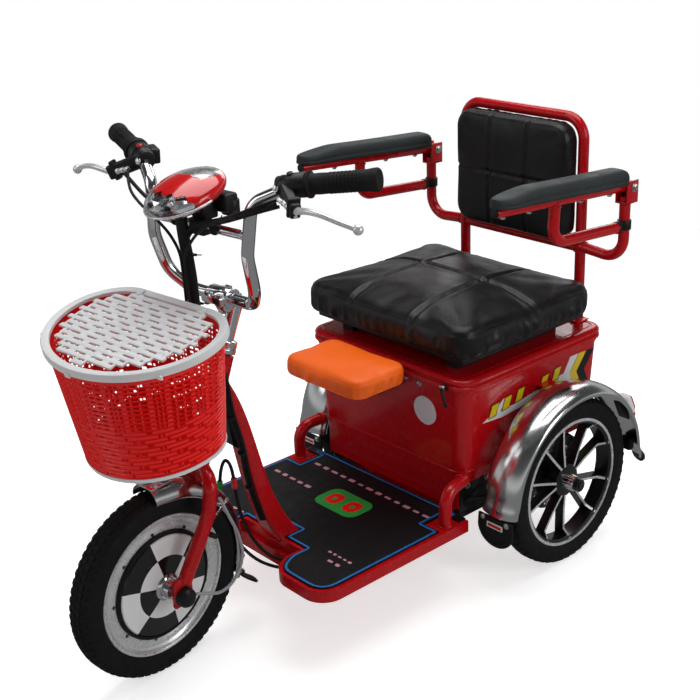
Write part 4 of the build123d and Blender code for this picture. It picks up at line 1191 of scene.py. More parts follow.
def leversPiece():
    bm = bmesh.new()
    bar = barEnd - gripLine * (gripFacts["length"] + 0.046)
    points = [atHead(*point) for point in leverPoints]
    pivot = points[0]
    addTube(bm, points, 1.0, detail=8, sides=5, radii=leverRadii)
    addBall(bm, points[-1], 0.0085)
    body = along(bar, pivot)
    reach = (pivot - bar).length
    addRod(bm, bar - gripLine * 0.008, bar + gripLine * 0.008, 0.0168, sides=28, soften=0.002, look=1)
    placed(bm, addBlock(bm, (-0.009, -0.012, 0.01), (0.009, 0.014, reach + 0.006), 0.004, 1, segments=3),
           body)
    placed(bm, addBlock(bm, (-0.011, -0.016, reach - 0.012), (0.011, 0.02, reach - 0.004), 0.003, 1), body)
    pin = Vector((0, 0, 0.01))
    addRod(bm, pivot - pin, pivot + pin, 0.0046, sides=16, soften=0.0008)
    line = (atHead(186, -27, 318) - pivot).normalized()
    start = pivot + line * 0.012
    for at, radius, length in ((0.0, 0.0062, 0.007), (0.008, 0.005, 0.01), (0.019, 0.004, 0.012)):
        addRod(bm, start + line * at, start + line * (at + length), radius, sides=14, soften=0.0008)
    addBolt(bm, bar + Vector((0, -0.016, 0.0)), (0, -1, 0.3), 0.0042, 0.004, 0)
    mirrorX(bm)
    finished("brakeLevers", bm, ["silverRim", "blackPlastic"], "steering", ("brake_levers",), headPlace)


# ---- lamp pod ----
pod = {"centre": (4, -62, 310), "size": (0.062, 0.077, 0.028), "tip": 16}
podPlace = headPlace @ Matrix.Translation(atHead(*pod["centre"])) @ tilt(pod["tip"])
podSize = Matrix.Diagonal((*pod["size"], 1))
brace = (-0.034, 0.248)


def podBand(x):
    # the jagged edge between the red shell and the clear lens
    teeth = [0.02, 0.1, -0.03, 0.07, -0.06, 0.03, -0.09, 0.02, -0.04, 0.08, 0.0, 0.06]
    place = (x + 1) / 2 * (len(teeth) - 1)
    k = int(clamp(place, 0, len(teeth) - 2))
    return teeth[k] + (teeth[k + 1] - teeth[k]) * (place - k)


def podPiece():
    # the red shell, cut away over the lens, with the display window sunk in its top
    bm = bmesh.new()
    bmesh.ops.create_uvsphere(bm, u_segments=128, v_segments=96, radius=1)
    lens, window = [], []
    for face in list(bm.faces):
        x, y, z = face.calc_center_median()
        edge = -0.4 - 0.16 * z + podBand(x) * 1.2
        if y < edge and z > -0.62:
            lens.append(face)
        elif z > 0.35 and 0.16 - 0.55 * podBand(x * 0.9) < y < 0.86 \
                and abs(x) < 0.62 - 0.25 * abs(y - 0.45):
            window.append(face)
    bmesh.ops.delete(bm, geom=lens, context="FACES")
    for face in window:
        if face.is_valid:
            face.material_index = 1
    for vert in bm.verts:
        if vert.link_faces and all(face.material_index == 1 for face in vert.link_faces):
            vert.co *= 0.985
        elif vert.co.z < -0.3:
            vert.co.z = -0.3 + (vert.co.z + 0.3) * 0.75
    placed(bm, bm.verts, podSize)
    bmesh.ops.solidify(bm, geom=list(bm.faces), thickness=0.0018)
    finished("lampPodShell", bm, ["podRed", "displayGlass"], "steering", ("headlight",), podPlace, angle=40)


def lampInside():
    # the faceted mirror with its two bulbs
    bm = bmesh.new()
    bmesh.ops.create_icosphere(bm, subdivisions=3, radius=1)
    bmesh.ops.delete(bm, geom=[vert for vert in bm.verts if vert.co.y > 0.05], context="VERTS")
    for vert in bm.verts:
        vert.co *= 0.86 + 0.05 * sin(9 * vert.co.x + 4) * cos(11 * vert.co.z)
    placed(bm, bm.verts, podSize)
    for x in (-0.022, 0.022):
        addBall(bm, (x, -0.05, 0.004), 0.011, (1, 0.7, 0.9), 1, 16)
        addRod(bm, (x, -0.058, 0.004), (x, -0.0635, 0.004), 0.006, 0.0035, sides=16, look=2)
    looks = ["chrome", "silverRim", "glossBlack"]
    finished("lampReflector", bm, looks, "steering", place=podPlace, angle=8)


def lampFront():
    # the clear lens and the bright lip round its foot
    bm = bmesh.new()
    bmesh.ops.create_uvsphere(bm, u_segments=64, v_segments=48, radius=0.992)
    bmesh.ops.delete(bm, geom=[vert for vert in bm.verts if vert.co.y > -0.22], context="VERTS")
    placed(bm, bm.verts, podSize)
    bmesh.ops.solidify(bm, geom=list(bm.faces), thickness=0.0012)
    finished("lampLens", bm, "clearLens", "steering", place=podPlace)
    bm = bmesh.new()
    wide, deep = pod["size"][0] * 1.005, pod["size"][1] * 1.005
    turns = [pi + pi * k / 48 for k in range(49)]
    addTube(bm, [(wide * cos(a), deep * sin(a), -0.0045) for a in turns], 0.0021, sides=4, detail=3)
    finished("lampLip", bm, "silverRim", "steering", place=podPlace)


def lampBracket():
    bm = bmesh.new()
    addBlock(bm, (-0.014, -0.046, 0.2335), (0.022, -0.0225, 0.262), 0.003, 0)
    addBlock(bm, (-0.012, -0.04, 0.258), (0.02, -0.006, 0.292), 0.004, 0)
    addBlock(bm, (-0.002, -0.012, 0.268), (0.044, 0.02, 0.3), 0.006, 0, segments=3)
    addRod(bm, (0.03, 0.012, 0.262), (0.03, 0.012, 0.288), 0.016, sides=28, soften=0.003)
    for x, side in ((-0.014, -1), (0.022, 1)):
        addBolt(bm, (x, *brace), (side, 0, 0), 0.0045, 0.004, 1)
    finished("lampBracket", bm, ["blackPlastic", "zincBolt"], "steering", place=headPlace)


stemPiece()
gripsPiece()
leversPiece()
podPiece()
lampInside()
lampFront()
lampBracket()
print("bars made")

# ---- cables: tied bundle over the brace, with its ties ----
bundle = {"route": [(186, -34, 312), (150, -44, 300), (112, -52, 286), (72, -54, 272), (34, -52, 262),
                    (2, -58, 252), (-6, -62, 236)], "radius": 0.0042}
ties = [((112, -52, 286), (0.9, 0.05, 0.3), 0.0075), ((46, -40, 252), (1, 0, 0), 0.0125),
        ((-52, -40, 252), (1, 0, 0), 0.0115), ((-9, -58, 200), (0, 0.1, 1), 0.0118),
        ((-9, -52, 112), (0, 0.2, 1), 0.0118)]


def cablesPiece():
    bm = bmesh.new()
    points = [atHead(*point) for point in bundle["route"]]
    addTube(bm, points, bundle["radius"], detail=8)
    addTube(bm, [point + Vector((0.001, 0.006, -0.005)) for point in points], 0.003, detail=8)
    mirrored = [Vector((-point.x, point.y, point.z - 0.003)) for point in points[:-1]]
    addTube(bm, mirrored + [atHead(-12, -60, 232)], 0.0034, detail=8)
    for spot, direction, radius in ties:
        centre, line = atHead(*spot), Vector(direction).normalized()
        start = centre - line * 0.0022
        addRod(bm, start, centre + line * 0.0022, radius, sides=20, soften=0.0006)
        side = line.orthogonal().normalized()
        addRod(bm, centre + side * radius * 0.9, centre + side * (radius + 0.012), 0.001, sides=6)
        addRod(bm, centre + side * radius * 0.9, centre + side * (radius + 0.004), 0.0024, sides=8)
    finished("barCables", bm, "blackCable", "steering", place=headPlace)


cablesPiece()
print("front end made")

# ---- bent tubes: smooth copies of the welded frame's tubes ----


def bentPoints(points, bends, step=8):
    # a polyline whose inner corners are rounded to these radii
    points = [Vector(point) for point in points]
    line = [points[0]]
    for before, corner, after, radius in zip(points, points[1:], points[2:], bends):
        back, ahead = (before - corner).normalized(), (after - corner).normalized()
        half = back.angle(ahead) / 2
        setback = min(radius / tan(half), (before - corner).length * 0.98, (after - corner).length * 0.98)
        radius = setback * tan(half)
        centre = corner + (back + ahead).normalized() * (radius / sin(half))
        first, last = corner + back * setback - centre, corner + ahead * setback - centre
        swing = first.angle(last)
        axis = first.cross(last).normalized()
        count = max(3, ceil(degrees(swing) / step))
        for k in range(count + 1):
            line.append(centre + Matrix.Rotation(swing * k / count, 3, axis) @ first)
    return line + [points[-1]]


def addPipe(bm, points, bends, radius, look=0, place=None, sides=10):
    return addTube(bm, bentPoints(points, bends), radius, look, place, smooth=False, sides=sides)


def addWeld(bm, centre, direction, radius, bead=0.0016, look=0):
    # a rippled bead where one tube meets another
    centre, direction = Vector(centre), Vector(direction).normalized()
    side = direction.orthogonal().normalized()
    other = direction.cross(side)
    turns = [2 * pi * k / 48 for k in range(48)]
    ring = [centre + (side * cos(a) + other * sin(a)) * radius for a in turns]
    radii = [1 + 0.22 * sin(3.1 * k) for k in range(48)]
    addTube(bm, ring, bead, look, smooth=False, closed=True, sides=3, radii=radii)


barPoints = [(78, 4, 110), (110, -20, 146), (117, -38, 214), (124, -28, 302), (189, 8, 334), (315, 59, 350)]
barBends = [0.026, 0.06, 0.06, 0.034, 0.04]


def handlebarPiece():
    bm = bmesh.new()
    left = [atHead(*point) for point in barPoints]
    other = [Vector((-point.x, point.y, point.z)) for point in reversed(left)]
    bends = list(reversed(barBends[1:])) + [barBends[0], barBends[0]] + barBends[1:]
    addPipe(bm, other + left, bends, 0.011, sides=14)
    addRod(bm, (-0.118, *brace), (0.118, *brace), 0.008, sides=36)
    for x in (-0.108, 0.108):
        addWeld(bm, (x, *brace), (1, 0, 0), 0.0082, 0.0012)
    finished("handlebar", bm, "chrome", "steering", ("handlebar",), headPlace)


hoopFacts = {"x": 0.218, "y": -0.288, "low": 0.162, "height": 0.07, "radius": 0.0125, "bend": 0.034}


def deckHoopsPiece():
    bm = bmesh.new()
    facts = hoopFacts
    foot = Vector((facts["x"], facts["y"], facts["low"]))
    knee = foot + Vector((0, 0, facts["height"]))
    end = Vector((facts["x"] - 0.01, -0.224, knee.z + 0.004))
    addPipe(bm, [foot, knee, end], [facts["bend"]], facts["radius"], sides=14)
    addWeld(bm, foot + Vector((0, 0, 0.001)), (0, 0, 1), facts["radius"], 0.0018)
    addWeld(bm, (end.x, -0.2345, end.z), (0, 1, 0.05), facts["radius"], 0.0018)
    mirrorX(bm)
    finished("deckHoops", bm, "redPaint", "chassis", ("deck_hoops",))


handlebarPiece()
deckHoopsPiece()

# ---- deck mat's printed line, marks and badge ----
deckPrint = {"z": 0.1651, "line": 0.0045, "thick": 0.0004}
lineCorners = [((0.000, -0.2475), 0), ((0.203, -0.2475), 0.004), ((0.203, -0.2555), 0.004),
               ((0.1795, -0.2555), 0.004), ((0.1795, -0.3215), 0.004), ((0.224, -0.3215), 0.004),
               ((0.224, -0.61), 0.036), ((0.115, -0.61), 0.03), ((0.096, -0.57), 0.012),
               ((0.096, -0.53), 0.004), ((0.035, -0.53), 0.004), ((0.035, -0.491), 0.004),
               ((0.000, -0.491), 0)]


def roundedPath(corners, steps=6):
    # a flat path whose corners are rounded; each corner comes with its radius
    spots = [Vector((*place, 0)) for place, radius in corners]
    line = [spots[0]]
    for index in range(1, len(spots) - 1):
        before, corner, after = spots[index - 1:index + 2]
        radius = corners[index][1]
        reach = min(radius, (before - corner).length * 0.49, (after - corner).length * 0.49)
        first = corner + (before - corner).normalized() * reach
        last = corner + (after - corner).normalized() * reach
        for k in range(steps + 1):
            t = k / steps
            line.append(first * (1 - t) ** 2 + corner * 2 * t * (1 - t) + last * t ** 2)
    return line + [spots[-1]]


def addRibbon(bm, line, width, z):
    # a flat strip along an open path
    left, right = [], []
    for index, spot in enumerate(line):
        before, after = line[max(index - 1, 0)], line[min(index + 1, len(line) - 1)]
        run = (after - before).normalized()
        side = Vector((-run.y, run.x, 0)) * width / 2
        left.append(bm.verts.new((spot.x + side.x, spot.y + side.y, z)))
        right.append(bm.verts.new((spot.x - side.x, spot.y - side.y, z)))
    strip(bm, left, right, closed=False)


def addPad(bm, centre, size, radius, z, thick, look=0):
    # a thin flat shape with round corners
    half = (size[0] / 2, size[1] / 2)
    loop = []
    for corner in range(4):
        middle = ((half[0] - radius) * (1, -1, -1, 1)[corner], (half[1] - radius) * (1, 1, -1, -1)[corner])
        for k in range(7):
            angle = pi / 2 * (corner + k / 6)
            loop.append(Vector((middle[0] + radius * cos(angle), middle[1] + radius * sin(angle), 0)))
    verts = [bm.verts.new(spot + Vector((*centre, z + thick))) for spot in loop]
    bm.faces.new(verts)
    base = [bm.verts.new(vert.co - Vector((0, 0, thick))) for vert in verts]
    strip(bm, verts, base, across=True)
    paint(verts + base, look)


def deckPrintPiece():
    bm = bmesh.new()
    z, thick = deckPrint["z"], deckPrint["thick"]
    line = roundedPath(lineCorners)
    whole = [Vector((-spot.x, spot.y, 0)) for spot in reversed(line)] + line[1:]
    addRibbon(bm, whole, deckPrint["line"], z + thick)
    rows = [(-0.168, 0.182, -0.292, 0.015, 13), (-0.205, -0.082, -0.372, 0.015, 5),
            (-0.186, -0.098, -0.534, 0.013, 4), (0.128, 0.196, -0.512, 0.01, 5),
            (0.15, 0.19, -0.534, 0.012, 2)]
    for low, high, y, height, count in rows:
        pitch = (high - low) / count
        for k in range(count):
            x = low + (k + 0.5) * pitch
            wide = pitch * (0.62, 0.5, 0.66, 0.56)[k % 4]
            addPad(bm, (x, y), (wide, height * (0.5, 0.62, 0.44)[k % 3]), 0.002, z, thick, 1)
    addPad(bm, (0.012, -0.368), (0.118, 0.074), 0.022, z, thick, 2)
    for x in (-0.014, 0.038):
        addPad(bm, (x, -0.368), (0.034, 0.04), 0.012, z + 0.0002, thick, 3)
        addPad(bm, (x, -0.368), (0.01, 0.012), 0.004, z + 0.0004, thick, 2)
    looks = ["stickerBlue", "stickerPink", "stickerGreen", "basketPlastic"]
    finished("deckPrint", bm, looks, "chassis", merge=0)


deckPrintPiece()

# ---- trunk: beaded lid, latch, bolts, stickers ----
trunk = {"half": 0.218, "floorHalf": 0.206, "front": -0.236, "rear": 0.184, "floorFront": -0.228,
         "floorRear": 0.178, "top": 0.424, "floor": 0.222, "corner": 0.03}
lidFacts = {"half": 0.226, "front": -0.244, "rear": 0.192, "low": 0.4244, "corner": 0.038}
hinge = {"places": (-0.12, 0.12), "axis": (0.199, 0.424)}


def roundRect(t, half, front, rear, corner):
    # t runs once round a rectangle with round corners, from the middle of its front edge
    wide, long = half - corner, rear - front - 2 * corner
    sides = [wide, long, 2 * wide, long, wide]
    arc = pi * corner / 2
    run = t * (sum(sides) + 4 * arc)
    spots = [(0, front), (half, front + corner), (wide, rear), (-half, rear - corner),
             (-half + corner, front)]
    runs = [(1, 0), (0, 1), (-1, 0), (0, -1), (1, 0)]
    low, high, back = front + corner, rear - corner, -half + corner
    centres = [(wide, low), (wide, high), (back, high), (back, low)]
    for k in range(5):
        if run <= sides[k] or k == 4:
            return Vector(spots[k]) + Vector(runs[k]) * run
        run -= sides[k]
        if run <= arc:
            angle = -pi / 2 + pi / 2 * k + run / corner
            return Vector(centres[k]) + Vector((cos(angle), sin(angle))) * corner
        run -= arc


lidSection = [(0.012, 0.0), (0.0012, 0.0), (0.0, 0.0014), (0.0, 0.0064), (0.002, 0.0086), (0.0034, 0.0092),
              (0.0034, 0.0108), (0.002, 0.0116), (0.0008, 0.0134), (0.0008, 0.0172), (0.004, 0.0212),
              (0.009, 0.023), (0.016, 0.023), (0.0175, 0.0218), (0.0195, 0.0218), (0.021, 0.023)]


def lidPoint(t, inset, rise):
    facts = lidFacts
    spot = roundRect(t, facts["half"] - inset, facts["front"] + inset, facts["rear"] - inset,
                     max(facts["corner"] - inset, 0.012))
    return Vector((spot.x, spot.y, facts["low"] + rise))


def trunkLidPiece():
    bm = bmesh.new()
    steps = 160
    loops = [[bm.verts.new(lidPoint(k / steps, inset, rise)) for k in range(steps)] for inset,
             rise in lidSection]
    for lower, upper in zip(loops, loops[1:]):
        strip(bm, lower, upper)
    bm.faces.new(loops[-1])
    bm.faces.new(list(reversed(loops[0])))
    for x in hinge["places"]:
        addRod(bm, (x - 0.014, *hinge["axis"]), (x + 0.014, *hinge["axis"]), 0.007, sides=28, soften=0.0006)
        addBlock(bm, (x - 0.014, 0.186, 0.4246), (x + 0.014, 0.199, 0.431), 0.0008)
    finished("trunkLid", bm, "redPaint", "seat_lid", ("trunk_lid",), angle=35)


def trunkPoint(t, fall, out=0.0):
    # a point on the trunk's tapered wall, this far down from its top
    share = fall / (trunk["top"] - trunk["floor"])
    half, front, rear = (trunk[a] + (trunk[b] - trunk[a]) * share
                         for a, b in (("half", "floorHalf"), ("front", "floorFront"), ("rear", "floorRear")))
    half, front, rear = half + out, front - out, rear + out
    spot = roundRect(t, half, front, rear, trunk["corner"] + out)
    return Vector((spot.x, spot.y, trunk["top"] - fall))


def trunkDressing():
    # the rolled bead under the lid, the pressed crease near the floor and the bolts
    bm = bmesh.new()
    bead = [(-0.0004, -0.001), (0.0022, -0.0005), (0.003, 0.003), (0.0022, 0.0065), (-0.0004, 0.007)]
    ringLoft(bm, bead, lambda t, c: trunkPoint(t, c[1] + 0.0015, c[0]), 160)
    crease = [(-0.0004, 0.0), (0.0013, 0.002), (0.0013, 0.0045), (-0.0004, 0.0065)]
    ringLoft(bm, crease, lambda t, c: trunkPoint(t, 0.176 + c[1], c[0]), 160)
    for x in (0.062, 0.1):
        addBolt(bm, (x, -0.2352, 0.4135), (0, -1, 0), 0.0052, 0.0046, 1)
    finished("trunkDressing", bm, ["redPaint", "zincBolt"], "chassis", angle=35)


def latchPiece():
    bm = bmesh.new()
    x = 0.18
    addBlock(bm, (x - 0.009, -0.2475, 0.424), (x + 0.007, -0.2435, 0.434), 0.0012)
    addTube(bm, [(x - 0.01, -0.248, 0.432), (x - 0.005, -0.2515, 0.424), (x + 0.001, -0.2525, 0.412),
                 (x + 0.005, -0.252, 0.398)], 0.0034, detail=8)
    addBlock(bm, (x + 0.002, -0.2545, 0.391), (x + 0.009, -0.249, 0.402), 0.0022)
    addRod(bm, (x - 0.01, -0.25, 0.43), (x + 0.002, -0.25, 0.43), 0.0036, sides=18, soften=0.0006, look=1)
    finished("trunkLatch", bm, ["blackPlastic", "zincBolt"], "chassis", ("trunk_latch",))


def hingesPiece():
    bm = bmesh.new()
    axis = hinge["axis"]
    for x in hinge["places"]:
        addRod(bm, (x - 0.026, *axis), (x + 0.026, *axis), 0.004, sides=20, soften=0.0005)
        for sign in (-1, 1):
            middle = x + sign * 0.022
            addBlock(bm, (middle - 0.0038, 0.1835, 0.395), (middle + 0.0038, 0.203, 0.42), 0.0008)
            addRod(bm, (middle - 0.0038, *axis), (middle + 0.0038, *axis), 0.006, sides=24)
        addBlock(bm, (x - 0.026, 0.183, 0.39), (x + 0.026, 0.1875, 0.4075), 0.0008)
        for dx in (-0.015, 0.015):
            addBolt(bm, (x + dx, 0.1875, 0.3985), (0, 1, 0), 0.0035, 0.003, 0)
    finished("trunkHinges", bm, "zincBolt", "chassis", ("trunk_hinges",))


badge = {"x": 0.113, "z": 0.357, "radius": 0.03}


def wallAt(z, top, floor):
    # where a leaning wall of the trunk is at this height
    return trunk[top] + (trunk[floor] - trunk[top]) * (trunk["top"] - z) / (trunk["top"] - trunk["floor"])


def addSidePatch(bm, outline, lift, look):
    # a flat sticker on each side wall of the trunk; the outline is (y, z)
    verts = [bm.verts.new((wallAt(z, "half", "floorHalf") + lift, y, z)) for y, z in outline]
    verts += extruded(bm, verts, (0.0003, 0, 0))
    paint(verts, look)
    mirrorX(bm, verts)


sidePatches = [([(-0.178, 0.341), (-0.15, 0.352), (-0.118, 0.376), (-0.1, 0.374), (-0.128, 0.352),
                 (-0.08, 0.353), (0.02, 0.366), (0.06, 0.372), (0.104, 0.366), (0.098, 0.352), (0.05, 0.352),
                 (-0.04, 0.342), (-0.12, 0.336)], 0.0002, 4),
               ([(0.084, 0.404), (0.11, 0.404), (0.084, 0.365), (0.108, 0.322), (0.084, 0.326),
                 (0.062, 0.364)], 0.0003, 4), ([(0.112, 0.404), (0.136, 0.403), (0.108, 0.364),
                                                (0.132, 0.318), (0.11, 0.322), (0.086, 0.365)], 0.0004, 1),
               ([(0.138, 0.403), (0.162, 0.401), (0.134, 0.362), (0.157, 0.314), (0.134, 0.318),
                 (0.11, 0.364)], 0.0005, 2), ]


def stickersPiece():
    bm = bmesh.new()
    lean = atan2(trunk["floorFront"] - trunk["front"], trunk["top"] - trunk["floor"])
    out, up = Vector((0, -cos(lean), -sin(lean))), Vector((0, -sin(lean), cos(lean)))
    place = Vector((badge["x"], wallAt(badge["z"], "front", "floorFront"), badge["z"])) + out * 0.0006
    addRod(bm, place - out * 0.0016, place + out * 0.0005, badge["radius"], sides=56)
    reach = badge["radius"] * 0.86
    turns = [2 * pi * k / 48 for k in range(48)]
    ring = [place + out * 0.0007 + Vector((reach * cos(a), 0, 0)) + up * reach * sin(a) for a in turns]
    addTube(bm, ring, 0.0005, 3, smooth=False, closed=True, sides=2)
    for patch in sidePatches:
        addSidePatch(bm, *patch)
    for k, y in enumerate((-0.146, -0.108, -0.07, 0.004, 0.042)):
        z = 0.359 + k * 0.005
        for grow, lift, look in ((0.0022, 0.0006, 2), (0.0, 0.0008, 1)):
            wide, tall = 0.0095 + grow, 0.0135 + grow
            bar = [(y - wide - 0.004, z - tall), (y + wide - 0.004, z - tall * 0.86),
                   (y + wide + 0.004, z + tall), (y - wide + 0.004, z + tall * 0.86)]
            addSidePatch(bm, bar, lift, look)
    looks = ["stickerSilver", "stickerYellow", "blackPlastic", "whitePlastic", "whitePlastic"]
    finished("stickers", bm, looks, "chassis", merge=0, angle=30)


trunkLidPiece()
trunkDressing()
latchPiece()
hingesPiece()
stickersPiece()
print("deck and trunk made")

# ---- cushions: stuffed by a cloth simulation, then seamed ----
seatPad = {"size": (0.464, 0.396, 0.064), "corner": 0.04, "edge": 0.021, "voxel": 0.0062, "pressure": 3.4,
           "rise": 0.019, "frames": 18, "stiff": 14}
backPad = {"size": (0.302, 0.244, 0.042), "corner": 0.036, "edge": 0.011, "voxel": 0.0048, "pressure": 3.0,
           "rise": 0.006, "frames": 14, "stiff": 14}
childPad = {"size": (0.22, 0.14, 0.04), "corner": 0.028, "edge": 0.013, "voxel": 0.0036, "pressure": 3.0,
            "rise": 0.005, "frames": 14, "stiff": 12}


def padBlock(size, corner, edge):
    # a plain block with upright corners rounded, then its upper and lower edges
    bm = bmesh.new()
    bmesh.ops.create_cube(bm, size=1)
    bmesh.ops.scale(bm, vec=size, verts=bm.verts)
    tall, high = size[2] * 0.9, size[2] * 0.49
    upright = [e for e in bm.edges if abs(e.verts[0].co.z - e.verts[1].co.z) > tall]
    softened(bm, upright, corner, 6, clamped=False)
    top = [e for e in bm.edges if all(vert.co.z > high for vert in e.verts)]
    softened(bm, top, edge, 4, clamped=False)
    low = [e for e in bm.edges if all(vert.co.z < -high for vert in e.verts)]
    softened(bm, low, edge * 0.5, 3, clamped=False)
    return meshOf(bm, "pad")


def baked(piece):
    # the piece's mesh with its modifiers applied
    graph = bpy.context.evaluated_depsgraph_get()
    mesh = bpy.data.meshes.new_from_object(piece.evaluated_get(graph))
    bpy.data.objects.remove(piece)
    return mesh


def stuffed(name, facts):
    # the pad swells a little under pressure, and its underside stays put on the board
    piece = linked(name + "Pad", padBlock(facts["size"], facts["corner"], facts["edge"]))
    remesh = piece.modifiers.new("remesh", "REMESH")
    remesh.mode = "VOXEL"
    remesh.voxel_size = facts["voxel"]
    mesh = baked(piece)
    before = [vert.co.copy() for vert in mesh.vertices]
    piece = linked(name + "Cloth", mesh)
    held = piece.vertex_groups.new(name="held")
    low = -facts["size"][2] * 0.3
    held.add([vert.index for vert in mesh.vertices if vert.co.z < low], 1.0, "REPLACE")
    cloth = piece.modifiers.new("cloth", "CLOTH")
    settings = cloth.settings
    settings.quality = 5
    settings.mass = 0.3
    settings.tension_stiffness = settings.compression_stiffness = facts["stiff"]
    settings.shear_stiffness = facts["stiff"]
    settings.bending_stiffness = 4
    settings.use_pressure = True
    settings.uniform_pressure_force = facts["pressure"]
    settings.effector_weights.gravity = 0
    settings.vertex_group_mass = "held"
    cloth.collision_settings.use_collision = False
    for step in range(1, facts["frames"] + 1):
        scene.frame_set(step)
    mesh = baked(piece)
    scene.frame_set(1)
    furthest = max((vert.co - old).length for vert, old in zip(mesh.vertices, before))
    share = min(1.0, facts["rise"] / furthest) if furthest > 0 else 1.0
    crown = 0.0
    half = (facts["size"][0] / 2, facts["size"][1] / 2)
    for vert, old in zip(mesh.vertices, before):
        vert.co = old.lerp(vert.co, share)
        if crown and vert.co.z > 0:
            inward = max(0.0, 1 - (vert.co.x / half[0]) ** 2) * max(0.0, 1 - (vert.co.y / half[1]) ** 2)
            vert.co.z += crown * inward ** 0.5
    return mesh


def smoothed(mesh, passes):
    bm = bmesh.new()
    bm.from_mesh(mesh)
    for _ in range(passes):
        bmesh.ops.smooth_vert(bm, verts=bm.verts, factor=0.5, use_axis_x=True, use_axis_y=True,
                              use_axis_z=True)
    bm.to_mesh(mesh)
    bm.free()


def subdivided(mesh):
    piece = linked("subdivided", mesh)
    finer = piece.modifiers.new("finer", "SUBSURF")
    finer.levels = finer.render_levels = 1
    return baked(piece)


def groove(value, centre, width):
    return 2.718 ** (-((value - centre) / width) ** 2)


def sewn(mesh, facts, seams, edgeSeam, gathers):
    # presses the seams in, draws the skirt into gathers and creases the cover beside them
    height = facts["size"][2] / 2
    size, pitch = gathers
    moves = []
    for vert in mesh.vertices:
        spot, normal = vert.co, vert.normal
        move = Vector((0, 0, 0))
        upper = smoothStep(0.25, 0.75, normal.z)
        for axis, place, depth, width in seams:
            value = spot[axis]
            pull = 0.9 + 0.1 * sin(spot[1 - axis] * 170 + place * 50)
            move.z -= upper * depth * groove(value, place, width) * pull
            move.z += upper * depth * 0.16 * groove(abs(value - place), width * 2.4, width)
        side = 1 - smoothStep(0.35, 0.85, abs(normal.z))
        fall = height - spot.z
        move -= normal * side * edgeSeam[1] * groove(fall, edgeSeam[0], 0.0022)
        drawn = smoothStep(edgeSeam[0], facts["size"][2] * 0.9, fall)
        fold = noise.noise(Vector((spot.x * pitch, spot.y * pitch, spot.z * pitch * 0.14)))
        fine = noise.noise(Vector((spot.x * pitch * 2.3 + 5, spot.y * pitch * 2.3, spot.z * 20)))
        move += normal * side * drawn * size * (abs(fold) * 2.2 - 0.75 + 0.35 * fine)
        wave = noise.noise(Vector((spot.x * 21 + 7, spot.y * 21, 4)))
        move.z += side * drawn * size * (1.1 * wave + 0.5 * abs(fold))
        sag = noise.noise(Vector((spot.x * 13 + 3, spot.y * 17, 2)))
        move.z += upper * 0.0009 * sag
        moves.append(move)
    for vert, move in zip(mesh.vertices, moves):
        vert.co += move
    mesh.update()


def padPiece(name, facts, body, node, place, look, seams, edgeSeam, gathers):
    # edgeSeam is its depth below the top and its width; gathers are their size and pitch
    mesh = stuffed(name, facts)
    smoothed(mesh, 3)
    mesh = subdivided(mesh)
    sewn(mesh, facts, seams, edgeSeam, gathers)
    bm = bmesh.new()
    bm.from_mesh(mesh)
    finished(name, bm, look, body, (node,), place, merge=0, angle=75, recalc=False)


seatSeams = [(0, -0.086, 0.0056, 0.0048), (0, 0.086, 0.0056, 0.0048), (1, 0.018, 0.0056, 0.0048)]
backSeams = [(0, -0.05, 0.0034, 0.0036), (0, 0.05, 0.0034, 0.0036), (1, 0.0, 0.0034, 0.0036)]
seatPlace = Matrix.Translation((-0.004, -0.048, 0.5195))
backPlace = Matrix.Translation((0, 0.154, 0.741)) @ Matrix.Rotation(pi / 2, 4, "X")
childPlace = Matrix.Translation((0, -0.34, 0.447))
padPiece("seatCushion", seatPad, "seat_lid", "seat_cushion", seatPlace, "blackLeather", seatSeams,
         (0.013, 0.0015), (0.006, 40))
padPiece("backCushion", backPad, "seat_lid", "backrest_cushion", backPlace, "blackLeather", backSeams,
         (0.008, 0.0008), (0.0014, 56))
padPiece("childCushion", childPad, "chassis", "child_seat_cushion", childPlace, "orangeLeather", [],
         (0.009, 0.0006), (0.0058, 50))


def seatBoard():
    # the black board and the turned-under cover below the cushion
    bm = bmesh.new()
    addBlock(bm, (-0.208, -0.226, 0.4745), (0.208, 0.132, 0.488), 0.003, 0)
    for x in (-0.15, 0.15):
        for y in (-0.18, -0.06, 0.08):
            addBolt(bm, (x * 0.86, y, 0.4745), (0, 0, -1), 0.0055, 0.004, 1)
    finished("seatBoard", bm, ["blackPlastic", "zincBolt"], "seat_lid")


seatBoard()
print("cushions made")

# ---- seat frame and arms ----
armFacts = {"x": 0.267, "y": 0.186, "z": 0.75, "slope": -4.0}
seatFrame = {"radius": 0.011, "half": 0.161, "y": 0.178, "low": 0.4474, "high": 0.872, "bend": 0.044}


